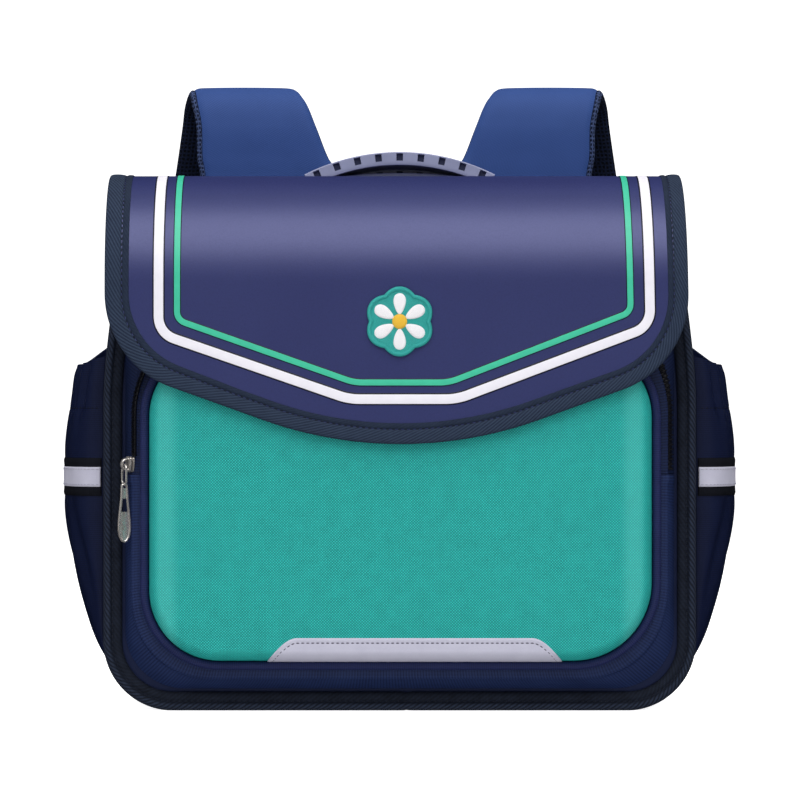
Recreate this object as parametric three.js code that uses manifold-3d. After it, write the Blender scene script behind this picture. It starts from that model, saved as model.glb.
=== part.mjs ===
// A child's flap-top school backpack, standing on its base. Millimetres, +X to the right of someone who
// faces its front, +Y from the front towards the wearer's back, +Z up, origin in the middle of the base.
import * as THREE from 'three';
import { mergeVertices } from 'three/addons/utils/BufferGeometryUtils.js';
import Module from 'manifold-3d';

const wasm = await Module();
wasm.setup();

// Driving dimensions
const GAP = 0.3; // left between pieces that touch
const TOLERANCE = 1e-3; // places closer than this are the same
const ARC_STEP = Math.PI / 12; // largest turn between two stations of a rounded corner
const CURVE_SEGMENTS = 6; // steps of a small cut-out arc

const BODY_HALF_WIDTH = 180; // over the edge bindings
const BODY_CORNER = 48; // radius of the lower corners
const BODY_TOP = 311; // top edge of the side panels and the back panel
const WALL = 2.5; // nylon with a thin foam backing
const SIDE_FRONT = -56.5; // the side panels and base run from here
const SIDE_BACK = 47.5; // to here
const SIDE_FOOT = 2; // flat run of a side panel past its lower corner
const FRONT_WALL_TOP = 302;
const FRONT_WALL_FACE = -63.7;
const FRONT_WALL_BACK = -61.2;
const UPPER_CORNER = 16; // radius of the upper corners of the front wall and the back panel

const BINDING_BLOCK = 4; // part of a binding that fills the seam between two panels
const BINDING_ROUND = { outer: 1.8, inner: 1.5, drop: 0.4 }; // its edges; the drop is a share of its height
const FRONT_BINDING = { width: 12.6, seam: -64, face: -68, end: SIDE_FRONT - GAP, top: FRONT_WALL_TOP };
const BACK_BINDING = { width: 11, seam: 63.6, face: 66.6, end: SIDE_BACK + GAP, top: 286 };

const ZIP_END = 144; // the pocket's zip runs up and over from this height on both sides
const POCKET_BASE = { halfWidth: 167, bottom: 13.4, top: 248, corner: 36, y: -64 };
const POCKET_FRONT = { halfWidth: 157.3, bottom: 25.9, top: 226, corner: 43, y: -84 };
const POCKET_WALL = 1.5;
const POCKET_BULGE = 1.5; // how far the gusset bows out between its two seams

const PIPING_WIDTH = 6.2;
const PIPING_DEPTH = 5.6;
const COIL = { half: 0.07, halfTop: 0.03, shoulder: 1.3, height: 2 }; // halves are shares of the band's width
const COIL_END = { right: 147, left: 156 }; // the coil stops at its sewn end, and at the slider on the left
const PANEL = { clear: 0.4, wall: 3, straight: 2.7, roll: 12, back: -84.6, crown: 1.6, crownInset: 42 };
const TRIM = { left: -78.9, right: 98.4, thickness: 0.8, flat: 2.8, corner: 13 };
const TRIM_CORNER_SHARES = [0, 0.06, 0.25, 0.6]; // where its round corners get stations
const TRIM_LOWEST_ANGLE = 0.45; // where the trim stops short of the piping, round the panel's rolled edge

const FLAP = {
  halfWidth: 174,
  thickness: 2.4,
  top: 325,
  front: -106.5,
  back: 66,
  roll: 66, // radius over the front edge
  backBend: 14, // radius over the back edge
  tail: 17, // sewn to the back panel
};
const BACK_MARGIN = 6; // the flap's binding and stripes stop this far in front of the back bend
const FLAP_CORNER = { height: 214.1, radius: 46 };
const FLAP_TIP = { height: 149.5, radius: 199 };
const FLAP_BINDING = { width: 12, leg: 1.1, edge: 1.4 };
const STRIPE_THICKNESS = 0.6;
const WHITE_STRIPE = {
  width: 6.6,
  side: { x: 144.2, height: 231.5, bend: 14 }, // where its upright run turns inwards
  floor: { x: 28.4, height: 189.2, bend: 40 }, // where its level run begins
};
const GREEN_STRIPE = {
  width: 4.5,
  side: { x: 133, height: 237.5, bend: 7 },
  floor: { x: 28.6, height: 199.5, bend: 30 },
};
const BADGE = { radius: 21, petals: 6, petalSteps: 8, scallop: 2.6, thickness: 1.6, height: 236 };

const SIDE_POCKET = { front: -56, back: 47, thickness: 1.5, mouth: 208, mouthRise: 12, foot: 28 };
const POUCH_ROUNDING = 0.45; // a smaller power makes a side pocket's section more square
const GATHER = { from: 160, to: 206 }; // heights between which its folds deepen
const CORNER_EASE = { off: 0.8, from: 40, to: 60 }; // it stands off where the side panel turns under
const SIDE_BAND = { bottom: 130.3, top: 153.5, thickness: 0.6 };
const SIDE_REFLECTOR = { bottom: 136, top: 148, thickness: 0.5 };

const HANDLE = {
  y: 30,
  depth: 26,
  crest: 345.2,
  radius: 136,
  halfLength: 66,
  thickness: 6.6,
  endThickness: 2.8,
  thinning: 34, // it thins from this far out to its ends
  edge: { width: 1.4, rise: 0.2 }, // its rounded edges, the rise as a share of its thickness
  steps: 20,
};
const HANDLE_BASE = {
  halfLength: 48,
  depth: 24,
  crest: 330.8,
  end: 327.6,
  edge: { width: 1.2, rise: 0.3 },
  steps: 10,
};
const WINDOW = { count: 9, pitch: 13.2, size: 4.2, depth: 3, share: 0.52 }; // share of the grip's thickness

const STRAP_THICKNESS = 11;
const STRAP_EDGE = { width: 0.06, rise: 0.6 }; // its rounded edges, as shares of its width and half thickness
const STRAP_STEPS = 2; // frames from one row of its table to the next
const ADJUSTER = { width: 36, height: 26, thickness: 4, bar: 4 };
const WEBBING_THICKNESS = 1.8;

// Section of the padded back panel's edge, from its inner face to the wearer's side
const BACK_PANEL_ROWS = [
  { inset: 4, y: 52 },
  { inset: 0, y: 55 },
  { inset: 0, y: 60.3 },
  { inset: 1.2, y: 62.3 },
  { inset: 4, y: 63.3 },
];

// How far a side pocket stands off the side panel, from its foot to its mouth
const SIDE_POCKET_ROWS = [
  { z: 28, bulge: 0 },
  { z: 55, bulge: 11.5 },
  { z: 75, bulge: 17 },
  { z: 95, bulge: 21 },
  { z: 118, bulge: 25 },
  { z: 140, bulge: 26.7 },
  { z: 164, bulge: 25.5 },
  { z: 190, bulge: 21.5 },
  { z: 222, bulge: 15.5 },
];

// Folds of the side pocket where the elastic gathers it: y of the fold, its half width and its depth
const GATHERS = [
  { y: -44, spread: 7, depth: 2.2 },
  { y: -26, spread: 6, depth: 1.6 },
  { y: -8, spread: 7, depth: 2.0 },
  { y: 11, spread: 6, depth: 1.6 },
  { y: 30, spread: 7, depth: 2.2 },
];

// The left shoulder strap's centre line from its sewn upper end, over the top and down to the adjuster
const STRAP_ROWS = [
  { x: -77, y: 72, z: 266, width: 86 },
  { x: -77, y: 72, z: 300, width: 87 },
  { x: -78, y: 72, z: 330, width: 86 },
  { x: -83, y: 72, z: 343, width: 80 },
  { x: -89, y: 72.5, z: 362, width: 71 },
  { x: -94, y: 77, z: 376, width: 66 },
  { x: -98, y: 88, z: 382, width: 63 },
  { x: -102, y: 99, z: 376, width: 61 },
  { x: -106, y: 105, z: 362, width: 60 },
  { x: -113, y: 112, z: 330, width: 60 },
  { x: -119, y: 120, z: 285, width: 60 },
  { x: -123, y: 124, z: 235, width: 60 },
  { x: -127, y: 121, z: 185, width: 59 },
  { x: -130, y: 112, z: 140, width: 55 },
  { x: -132, y: 103, z: 112, width: 46 },
];

// The webbing below it, from the adjuster to the seam at the lower corner of the back
const WEBBING_ROWS = [
  { x: -133.8, y: 94.8, z: 86.6, width: 25 },
  { x: -135, y: 88, z: 67, width: 25 },
  { x: -137, y: 76, z: 48, width: 25 },
  { x: -138, y: 67, z: 37, width: 25 },
  { x: -138, y: 64.6, z: 25, width: 25 },
];

const COLOURS = {
  nylon: { color: '#182344', roughness: 0.75, metalness: 0 },
  binding: { color: '#12161f', roughness: 0.85, metalness: 0 },
  flapBinding: { color: '#2b364b', roughness: 0.85, metalness: 0 },
  leather: { color: '#363b69', roughness: 0.42, metalness: 0 },
  teal: { color: '#2ea59f', roughness: 0.7, metalness: 0 },
  piping: { color: '#1c2148', roughness: 0.7, metalness: 0 },
  reflective: { color: '#b1b0c2', roughness: 0.4, metalness: 0.1 },
  white: { color: '#f5f3f9', roughness: 0.5, metalness: 0 },
  green: { color: '#25b489', roughness: 0.5, metalness: 0 },
  badge: { color: '#2ba7a0', roughness: 0.8, metalness: 0 },
  strap: { color: '#344a7c', roughness: 0.75, metalness: 0 },
  webbing: { color: '#10141d', roughness: 0.8, metalness: 0 },
  plastic: { color: '#14161c', roughness: 0.5, metalness: 0 },
  handle: { color: '#777b98', roughness: 0.5, metalness: 0 },
  nickel: { color: '#a9a6a4', roughness: 0.3, metalness: 1 },
};

const group = new THREE.Group();

function piece(name, geometry, colour, parent = group) {
  const mesh = new THREE.Mesh(geometry, new THREE.MeshStandardMaterial(COLOURS[colour]));
  mesh.name = name;
  parent.add(mesh);
  return mesh;
}

// Turns a closed surface's triangles over if they face inwards, which its signed volume shows
function facingOut(geometry) {
  const position = geometry.attributes.position;
  const index = geometry.index.array;
  const [a, b, c] = [new THREE.Vector3(), new THREE.Vector3(), new THREE.Vector3()];
  let volume = 0;
  for (let t = 0; t < index.length; t += 3) {
    a.fromBufferAttribute(position, index[t]);
    b.fromBufferAttribute(position, index[t + 1]);
    c.fromBufferAttribute(position, index[t + 2]);
    volume += a.dot(b.cross(c));
  }
  if (volume < 0) {
    for (let t = 0; t < index.length; t += 3) {
      [index[t], index[t + 1]] = [index[t + 1], index[t]];
    }
  }
  geometry.computeVertexNormals();
  return geometry;
}

function station(x, y, inward) {
  return Object.assign(new THREE.Vector2(x, y), { inward });
}

// Follows a line with rounded corners, and gives stations with the direction to the left of travel.
// corners has a row for each corner: x, y and radius. breaks are heights where a straight run gets a station.
function trace(corners, { closed = false, breaks = [] } = {}) {
  const count = corners.length;
  const point = corners.map((c) => new THREE.Vector2(c.x, c.y));
  const stations = [];
  const add = (at, along) => stations.push(station(at.x, at.y, new THREE.Vector2(-along.y, along.x)));
  for (let k = 0; k < count; k++) {
    const before = point[(k + count - 1) % count];
    const after = point[(k + 1) % count];
    const arriving = point[k].clone().sub(before).normalize();
    const leaving = after.clone().sub(point[k]).normalize();
    if (!closed && (k === 0 || k === count - 1)) {
      add(point[k], k === 0 ? leaving : arriving);
      continue;
    }
    const turn = Math.atan2(arriving.cross(leaving), arriving.dot(leaving));
    const { radius } = corners[k];
    const start = point[k].clone().addScaledVector(arriving, -radius * Math.tan(Math.abs(turn) / 2));
    const side = Math.sign(turn);
    const toCentre = new THREE.Vector2(-arriving.y, arriving.x).multiplyScalar(side * radius);
    const centre = start.clone().add(toCentre);
    const steps = Math.max(1, Math.ceil(Math.abs(turn) / ARC_STEP));
    for (let s = 0; s <= steps; s++) {
      const along = arriving.clone().rotateAround(new THREE.Vector2(), (turn * s) / steps);
      const outwards = new THREE.Vector2(along.y, -along.x).multiplyScalar(side * radius);
      add(centre.clone().add(outwards), along);
    }
  }
  return breaks.length ? withBreaks(stations, breaks) : stations;
}

// Adds a station wherever a straight, upright run of the line crosses one of the given heights
function withBreaks(stations, breaks) {
  const result = [];
  stations.forEach((here, i) => {
    result.push(here);
    const next = stations[i + 1];
    if (!next || Math.abs(next.x - here.x) > TOLERANCE) return;
    const low = Math.min(here.y, next.y);
    const high = Math.max(here.y, next.y);
    const between = breaks.filter((b) => b > low + TOLERANCE && b < high - TOLERANCE);
    between.sort((p, q) => (p - q) * Math.sign(next.y - here.y));
    between.forEach((y) => result.push(station(here.x, y, here.inward)));
  });
  return result;
}

// Carries a closed section through steps 0 to count: place(i, p) is where section point p lies at step i.
// A looped loft joins its last step to its first, and any other is capped at both ends.
function loft(section, count, place, looped = false) {
  const rings = looped ? count : count + 1;
  const points = THREE.ShapeUtils.area(section) < 0 ? [...section].reverse() : section;
  const size = points.length;
  const position = [];
  const index = [];
  for (let i = 0; i < rings; i++) {
    points.forEach((p) => position.push(...place(i, p).toArray()));
  }
  for (let i = 0; i < count; i++) {
    const near = i * size;
    const far = ((i + 1) % rings) * size;
    for (let k = 0; k < size; k++) {
      const next = (k + 1) % size;
      index.push(near + k, near + next, far + next, near + k, far + next, far + k);
    }
  }
  if (!looped) {
    const last = count * size;
    const cap = section.cap ?? THREE.ShapeUtils.triangulateShape(points, []);
    cap.forEach(([a, b, c]) => {
      index.push(c, b, a, last + a, last + b, last + c);
    });
  }
  const geometry = new THREE.BufferGeometry();
  geometry.setAttribute('position', new THREE.Float32BufferAttribute(position, 3));
  geometry.setIndex(index);
  return facingOut(geometry);
}

// Section of a thin sheet: along runs from 0 to 1 in the given steps, and inside is 0 on one face and 1 on
// the other. Its end caps are strips of short triangles across the thickness.
function sheetSection(steps) {
  const face = (inside) => {
    return Array.from({ length: steps + 1 }, (_, j) => {
      return Object.assign(new THREE.Vector2(j, inside), { along: j / steps, inside });
    });
  };
  const section = [...face(0), ...face(1).reverse()];
  const last = section.length - 1;
  section.cap = [];
  for (let j = 0; j < steps; j++) section.cap.push([j, j + 1, last - j - 1], [j, last - j - 1, last - j]);
  return section;
}

function sectionOf(...pairs) {
  return pairs.map(([x, y]) => new THREE.Vector2(x, y));
}

// A flat plate whose outline lies in X and Z and whose thickness runs along -Y from its place
function plate(shape, thickness) {
  return new THREE.ExtrudeGeometry(shape, { depth: thickness, bevelEnabled: false }).rotateX(Math.PI / 2);
}

function solidOf(geometry) {
  const bare = new THREE.BufferGeometry();
  bare.setAttribute('position', geometry.attributes.position);
  if (geometry.index) bare.setIndex(geometry.index);
  const merged = mergeVertices(bare, TOLERANCE);
  const vertProperties = new Float32Array(merged.attributes.position.array);
  const triVerts = new Uint32Array(merged.index.array);
  return new wasm.Manifold(new wasm.Mesh({ numProp: 3, vertProperties, triVerts }));
}

function geometryOf(solid) {
  const mesh = solid.getMesh();
  const geometry = new THREE.BufferGeometry();
  geometry.setAttribute('position', new THREE.Float32BufferAttribute(mesh.vertProperties, 3));
  geometry.setIndex(Array.from(mesh.triVerts));
  geometry.computeVertexNormals();
  return geometry;
}

function smoothStep(from, to, value) {
  return THREE.MathUtils.smoothstep(value, from, to);
}

// Value of a column at a height, read along straight lines between the rows of a table
function tableAt(rows, key, column, at) {
  const last = rows.length - 1;
  if (at <= rows[0][key]) return rows[0][column];
  if (at >= rows[last][key]) return rows[last][column];
  const k = rows.findIndex((row) => row[key] > at);
  const before = rows[k - 1];
  const t = (at - before[key]) / (rows[k][key] - before[key]);
  return THREE.MathUtils.lerp(before[column], rows[k][column], t);
}

// Main compartment

function bodyCorners(inset, base, top) {
  const x = BODY_HALF_WIDTH - inset;
  const radius = BODY_CORNER - inset;
  return [
    { x: -x, y: top, radius: 0 },
    { x: -x, y: base, radius },
    { x, y: base, radius },
    { x, y: top, radius: 0 },
  ];
}

const SIDE_INSET = 0.5; // the panels lie this far inside the edge bindings
const SPLIT = BODY_HALF_WIDTH - BODY_CORNER - SIDE_FOOT; // the side panels meet the base here

function sidePanel(side) {
  const x = BODY_HALF_WIDTH - SIDE_INSET;
  const line = trace([
    { x: -x, y: BODY_TOP, radius: 0 },
    { x: -x, y: 0, radius: BODY_CORNER - SIDE_INSET },
    { x: -SPLIT - GAP / 2, y: 0, radius: 0 },
  ]);
  const section = sectionOf([0, SIDE_FRONT], [WALL, SIDE_FRONT], [WALL, SIDE_BACK], [0, SIDE_BACK]);
  return loft(section, line.length - 1, (i, p) => {
    const { x: across, y: up, inward } = line[i];
    return new THREE.Vector3(-side * (across + inward.x * p.x), p.y, up + inward.y * p.x);
  });
}

function closedBody(inset, top, topCorner) {
  const [upperLeft, lowerLeft, lowerRight, upperRight] = bodyCorners(inset, inset + GAP, top);
  const rounded = { radius: topCorner };
  const corners = [lowerLeft, lowerRight, { ...upperRight, ...rounded }, { ...upperLeft, ...rounded }];
  return trace(corners, { closed: true });
}

// Padded panel with softly rounded edges
function backPanel() {
  const outline = closedBody(BINDING_BLOCK + GAP, BODY_TOP, UPPER_CORNER);
  return loft(outline, BACK_PANEL_ROWS.length - 1, (i, p) => {
    const { inset, y } = BACK_PANEL_ROWS[i];
    return new THREE.Vector3(p.x + p.inward.x * inset, y, p.y + p.inward.y * inset);
  });
}

// Tape bound round an edge of the body: a block in the seam and a leg that lies on the panel's face
function bodyBinding({ width, seam, face, end, top }) {
  const line = trace(bodyCorners(0, GAP, top));
  const turned = face + (seam - face) * BINDING_ROUND.drop;
  const section = sectionOf(
    [0, end],
    [0, turned],
    [BINDING_ROUND.outer, face],
    [width - BINDING_ROUND.inner, face],
    [width, turned],
    [width, seam],
    [BINDING_BLOCK, seam],
    [BINDING_BLOCK, end],
  );
  return loft(section, line.length - 1, (i, p) => {
    const { x, y, inward } = line[i];
    return new THREE.Vector3(x + inward.x * p.x, p.y, y + inward.y * p.x);
  });
}

// Front pocket

function lowerLine({ halfWidth, bottom, corner }) {
  const end = ZIP_END - GAP / 2;
  return trace([
    { x: -halfWidth, y: end, radius: 0 },
    { x: -halfWidth, y: bottom, radius: corner },
    { x: halfWidth, y: bottom, radius: corner },
    { x: halfWidth, y: end, radius: 0 },
  ]);
}

function upperLine({ halfWidth, top, corner }, end = ZIP_END + GAP / 2, leftEnd = end) {
  return trace([
    { x: halfWidth, y: end, radius: 0 },
    { x: halfWidth, y: top, radius: corner },
    { x: -halfWidth, y: top, radius: corner },
    { x: -halfWidth, y: leftEnd, radius: 0 },
  ]);
}

// A point of the pocket's band: along runs from its seam on the body (0) to the panel (1), and out stands
// off it
function bandPoint(back, front, i, along, out) {
  const bow = out + POCKET_BULGE * Math.sin(Math.PI * along);
  const x = THREE.MathUtils.lerp(back[i].x, front[i].x, along) - back[i].inward.x * bow;
  const z = THREE.MathUtils.lerp(back[i].y, front[i].y, along) - back[i].inward.y * bow;
  return new THREE.Vector3(x, THREE.MathUtils.lerp(POCKET_BASE.y, POCKET_FRONT.y, along), z);
}

const BAND_STEPS = 3;

function band(line) {
  const back = line(POCKET_BASE);
  const front = line(POCKET_FRONT);
  return loft(sheetSection(BAND_STEPS), back.length - 1, (i, p) => {
    return bandPoint(back, front, i, p.along, -p.inside * POCKET_WALL);
  });
}

function zipCoil() {
  const back = upperLine(POCKET_BASE, COIL_END.right, COIL_END.left);
  const front = upperLine(POCKET_FRONT, COIL_END.right, COIL_END.left);
  const { half, halfTop, shoulder, height } = COIL;
  const section = sectionOf(
    [-half, GAP],
    [half, GAP],
    [half, shoulder],
    [halfTop, height],
    [-halfTop, height],
    [-half, shoulder],
  );
  return loft(section, back.length - 1, (i, p) => bandPoint(back, front, i, 0.5 + p.x, p.y));
}

function closedPocket(outline, inset) {
  const x = outline.halfWidth - inset;
  const radius = outline.corner - inset;
  return trace(
    [
      { x: -x, y: outline.bottom + inset, radius },
      { x, y: outline.bottom + inset, radius },
      { x, y: outline.top - inset, radius },
      { x: -x, y: outline.top - inset, radius },
    ],
    { closed: true },
  );
}

const PIPING_SIDES = 8;

// A nearly round cord of tape, with a flat towards each of its neighbours
function panelPiping() {
  const line = closedPocket(POCKET_FRONT, 0);
  const flat = 1 / Math.cos(Math.PI / PIPING_SIDES);
  const middle = POCKET_FRONT.y - GAP - PIPING_DEPTH / 2;
  const section = [];
  for (let k = 0; k < PIPING_SIDES; k++) {
    const angle = (2 * Math.PI * (k + 0.5)) / PIPING_SIDES;
    const inset = (PIPING_WIDTH / 2) * (1 + flat * Math.cos(angle));
    section.push(new THREE.Vector2(inset, middle + (PIPING_DEPTH / 2) * flat * Math.sin(angle)));
  }
  const place = (i, p) => {
    const { x, y: up, inward } = line[i];
    return new THREE.Vector3(x + inward.x * p.x, p.y, up + inward.y * p.x);
  };
  return loft(section, line.length, place, true);
}

const PANEL_INSET = PIPING_WIDTH + PANEL.clear;
const PANEL_ROLL_START = PANEL.back - PANEL.straight;
const PANEL_ROLL_STEPS = 4;
const CROWN_SLOPE = PANEL.crown / (PANEL.crownInset - PANEL.roll);

// A moulded shell: its inner face, its back edge, the rolled edge outside and the slightly crowned front
function pocketPanel() {
  const outline = closedPocket(POCKET_FRONT, PANEL_INSET);
  const rolled = (radius, k) => {
    const angle = (k / PANEL_ROLL_STEPS) * (Math.PI / 2);
    return { inset: PANEL.roll - radius * Math.cos(angle), y: PANEL_ROLL_START - radius * Math.sin(angle) };
  };
  const face = PANEL_ROLL_START - PANEL.roll;
  const rows = [{ inset: PANEL.crownInset, y: face - PANEL.crown + PANEL.wall }];
  for (let k = PANEL_ROLL_STEPS; k >= 0; k--) rows.push(rolled(PANEL.roll - PANEL.wall, k));
  rows.push({ inset: PANEL.wall, y: PANEL.back });
  rows.push({ inset: 0, y: PANEL.back });
  for (let k = 0; k <= PANEL_ROLL_STEPS; k++) rows.push(rolled(PANEL.roll, k));
  rows.push({ inset: PANEL.crownInset, y: face - PANEL.crown });
  const middle = (POCKET_FRONT.bottom + POCKET_FRONT.top) / 2;
  const across = POCKET_FRONT.halfWidth - PANEL_INSET;
  const upright = (POCKET_FRONT.top - POCKET_FRONT.bottom) / 2 - PANEL_INSET;
  return loft(outline, rows.length - 1, (i, p) => {
    const { inset, y } = rows[i];
    if (inset < PANEL.crownInset) {
      return new THREE.Vector3(p.x + p.inward.x * inset, y, p.y + p.inward.y * inset);
    }
    const x = p.x * (1 - inset / across);
    return new THREE.Vector3(x, y, middle + (p.y - middle) * (1 - inset / upright));
  });
}

const TRIM_STEPS = 6;

// Strip on the lower rolled edge of the panel, with round upper corners
function reflectiveTrim() {
  const bottom = POCKET_FRONT.bottom + PANEL_INSET;
  const arc = PANEL.roll * (Math.PI / 2 - TRIM_LOWEST_ANGLE);
  const height = arc + TRIM.flat;
  const columns = TRIM_CORNER_SHARES.map((share) => share * TRIM.corner);
  const xs = [...columns.map((c) => TRIM.left + c), TRIM.left + TRIM.corner];
  xs.push(TRIM.right - TRIM.corner, ...columns.map((c) => TRIM.right - c).reverse());
  return loft(sheetSection(TRIM_STEPS), xs.length - 1, (i, p) => {
    const fromEnd = Math.min(xs[i] - TRIM.left, TRIM.right - xs[i], TRIM.corner);
    const short = TRIM.corner - Math.sqrt(TRIM.corner ** 2 - (TRIM.corner - fromEnd) ** 2);
    const run = p.along * (height - short);
    const radius = PANEL.roll + GAP + (1 - p.inside) * TRIM.thickness;
    const angle = TRIM_LOWEST_ANGLE + Math.min(run, arc) / PANEL.roll;
    const past = Math.max(run - arc, 0);
    const z = bottom + PANEL.roll - radius * Math.cos(angle) + past;
    const y = PANEL_ROLL_START - radius * Math.sin(angle) - past * CROWN_SLOPE;
    return new THREE.Vector3(xs[i], y, z);
  });
}

// Flap. It is drawn flat, x across and height up its length: below the front roll a height is the true one,
// and above it the sheet runs on over the roll, along the top and down the back.

const ROLL_CENTRE = { y: FLAP.front + FLAP.roll, z: FLAP.top - FLAP.roll };
const BEND_CENTRE = { y: FLAP.back - FLAP.backBend, z: FLAP.top - FLAP.backBend };
const ROLL_END = ROLL_CENTRE.z + (FLAP.roll * Math.PI) / 2;
const TOP_END = ROLL_END + BEND_CENTRE.y - ROLL_CENTRE.y;
const BEND_END = TOP_END + (FLAP.backBend * Math.PI) / 2;
const FLAP_END = BEND_END + FLAP.tail;
const STRIPE_END = TOP_END - BACK_MARGIN;
const ROLL_STEPS = 8;
const BEND_STEPS = 3;

// The sheet's outer face at a flat height, moved out by the given amount
function flapPoint(x, height, out) {
  if (height <= ROLL_CENTRE.z) return new THREE.Vector3(x, FLAP.front - out, height);
  if (height <= ROLL_END) {
    const angle = (height - ROLL_CENTRE.z) / FLAP.roll;
    const radius = FLAP.roll + out;
    const y = ROLL_CENTRE.y - radius * Math.cos(angle);
    return new THREE.Vector3(x, y, ROLL_CENTRE.z + radius * Math.sin(angle));
  }
  if (height <= TOP_END) return new THREE.Vector3(x, ROLL_CENTRE.y + height - ROLL_END, FLAP.top + out);
  if (height <= BEND_END) {
    const angle = (height - TOP_END) / FLAP.backBend;
    const radius = FLAP.backBend + out;
    const y = BEND_CENTRE.y + radius * Math.sin(angle);
    return new THREE.Vector3(x, y, BEND_CENTRE.z + radius * Math.cos(angle));
  }
  return new THREE.Vector3(x, FLAP.back + out, BEND_CENTRE.z - (height - BEND_END));
}

// Flat heights where the sheet bends
function flapHeights() {
  const run = (from, to, steps) => {
    return Array.from({ length: steps + 1 }, (_, k) => THREE.MathUtils.lerp(from, to, k / steps));
  };
  return [...run(ROLL_CENTRE.z, ROLL_END, ROLL_STEPS), ...run(TOP_END, BEND_END, BEND_STEPS)];
}

function flapEdgeCorners(top) {
  return [
    { x: -FLAP.halfWidth, y: top, radius: 0 },
    { x: -FLAP.halfWidth, y: FLAP_CORNER.height, radius: FLAP_CORNER.radius },
    { x: 0, y: FLAP_TIP.height, radius: FLAP_TIP.radius },
    { x: FLAP.halfWidth, y: FLAP_CORNER.height, radius: FLAP_CORNER.radius },
    { x: FLAP.halfWidth, y: top, radius: 0 },
  ];
}

const FLAP_LOWER_ROWS = 2;

function flap() {
  const columns = trace(flapEdgeCorners(ROLL_CENTRE.z)).slice(1, -1);
  const heights = [...flapHeights(), FLAP_END];
  const rows = heights.length - 1 + FLAP_LOWER_ROWS;
  return loft(sheetSection(rows), columns.length - 1, (i, p) => {
    const row = Math.round(p.along * rows);
    const lowest = columns[i].y;
    let height = heights[row - FLAP_LOWER_ROWS];
    if (row < FLAP_LOWER_ROWS) height = lowest + ((ROLL_CENTRE.z - lowest) * row) / FLAP_LOWER_ROWS;
    return flapPoint(columns[i].x, height, -p.inside * FLAP.thickness);
  });
}

// Tape folded over the flap's edge: a leg on each face and a round edge
function flapBinding() {
  const line = trace(flapEdgeCorners(STRIPE_END), { breaks: flapHeights() });
  const { width, leg, edge } = FLAP_BINDING;
  const under = -FLAP.thickness - GAP;
  const section = sectionOf(
    [width, GAP],
    [width, GAP + leg],
    [0, GAP + leg],
    [-edge, GAP],
    [-edge, under],
    [0, under - leg],
    [width, under - leg],
    [width, under],
    [-GAP, under],
    [-GAP, GAP],
  );
  return loft(section, line.length - 1, (i, p) => {
    const { x, y, inward } = line[i];
    return flapPoint(x + inward.x * p.x, y + inward.y * p.x, p.y);
  });
}

function flapStripe({ width, side, floor }) {
  const line = trace(
    [
      { x: -side.x, y: STRIPE_END, radius: 0 },
      { x: -side.x, y: side.height, radius: side.bend },
      { x: -floor.x, y: floor.height, radius: floor.bend },
      { x: floor.x, y: floor.height, radius: floor.bend },
      { x: side.x, y: side.height, radius: side.bend },
      { x: side.x, y: STRIPE_END, radius: 0 },
    ],
    { breaks: flapHeights() },
  );
  const half = width / 2;
  const outer = GAP + STRIPE_THICKNESS;
  const section = sectionOf([-half, GAP], [half, GAP], [half, outer], [-half, outer]);
  return loft(section, line.length - 1, (i, p) => {
    const { x, y, inward } = line[i];
    return flapPoint(x + inward.x * p.x, y + inward.y * p.x, p.y);
  });
}

// Round patch with a scalloped, petal-like edge
function badge() {
  const points = [];
  const steps = BADGE.petals * BADGE.petalSteps;
  for (let k = 0; k < steps; k++) {
    const angle = (k / steps) * 2 * Math.PI;
    const dip = BADGE.scallop * (1 - Math.abs(Math.sin((BADGE.petals * angle) / 2)));
    const radius = BADGE.radius - dip;
    points.push(new THREE.Vector2(radius * Math.cos(angle), radius * Math.sin(angle)));
  }
  return plate(new THREE.Shape(points), BADGE.thickness);
}

// Zip slider, link and puller, in a frame whose -Y faces out from the pocket's band and whose X runs along
// the link's wire where it passes through the slider's crown

const SLIDER = { z: 150, length: 9, width: 8, base: 3.4 };
const CROWN = { length: 6.4, width: 2.8, height: 7.6, bevel: 1, hole: 1.3 };
const CROWN_HOLE = 5.7; // how far out the link passes
const LINK = { wire: 0.65, sides: 6, halfWidth: 3.2, corner: 1.6, length: 11.6, hang: 0.3 };
const PULLER = { length: 36, halfWidth: 4.3, halfNeck: 2.3, thickness: 1.5, eye: 1.35, rim: 1.4 };
const PULLER_BEVEL = { across: 0.8, down: 0.6 };
const PULLER_SLIT = { top: 9.6, length: 8, halfWidth: 1.5 }; // cut through, this far below its upper edge
const EYE_HEIGHT = -LINK.hang - LINK.length - (PULLER.eye - LINK.wire - GAP); // the puller hangs on the link

function zipGroup() {
  const half = (POCKET_BASE.halfWidth + POCKET_FRONT.halfWidth) / 2 + POCKET_BULGE;
  const slope = (POCKET_BASE.halfWidth - POCKET_FRONT.halfWidth) / (POCKET_BASE.y - POCKET_FRONT.y);
  const result = new THREE.Group();
  result.position.set(-half, (POCKET_BASE.y + POCKET_FRONT.y) / 2, SLIDER.z);
  result.rotation.z = Math.atan(slope) - Math.PI / 2;
  group.add(result);
  return result;
}

// A plate cut in the plane of the zip's outward direction and Z, centred on the link's plane
function uprightPlate(shape, thickness) {
  const settings = { depth: thickness, bevelEnabled: false, curveSegments: CURVE_SEGMENTS };
  const extruded = new THREE.ExtrudeGeometry(shape, settings);
  const outward = new THREE.Vector3(0, -1, 0);
  const up = new THREE.Vector3(0, 0, 1);
  const turned = new THREE.Matrix4().makeBasis(outward, up, new THREE.Vector3(-1, 0, 0));
  return extruded.applyMatrix4(turned).translate(thickness / 2, 0, 0);
}

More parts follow.
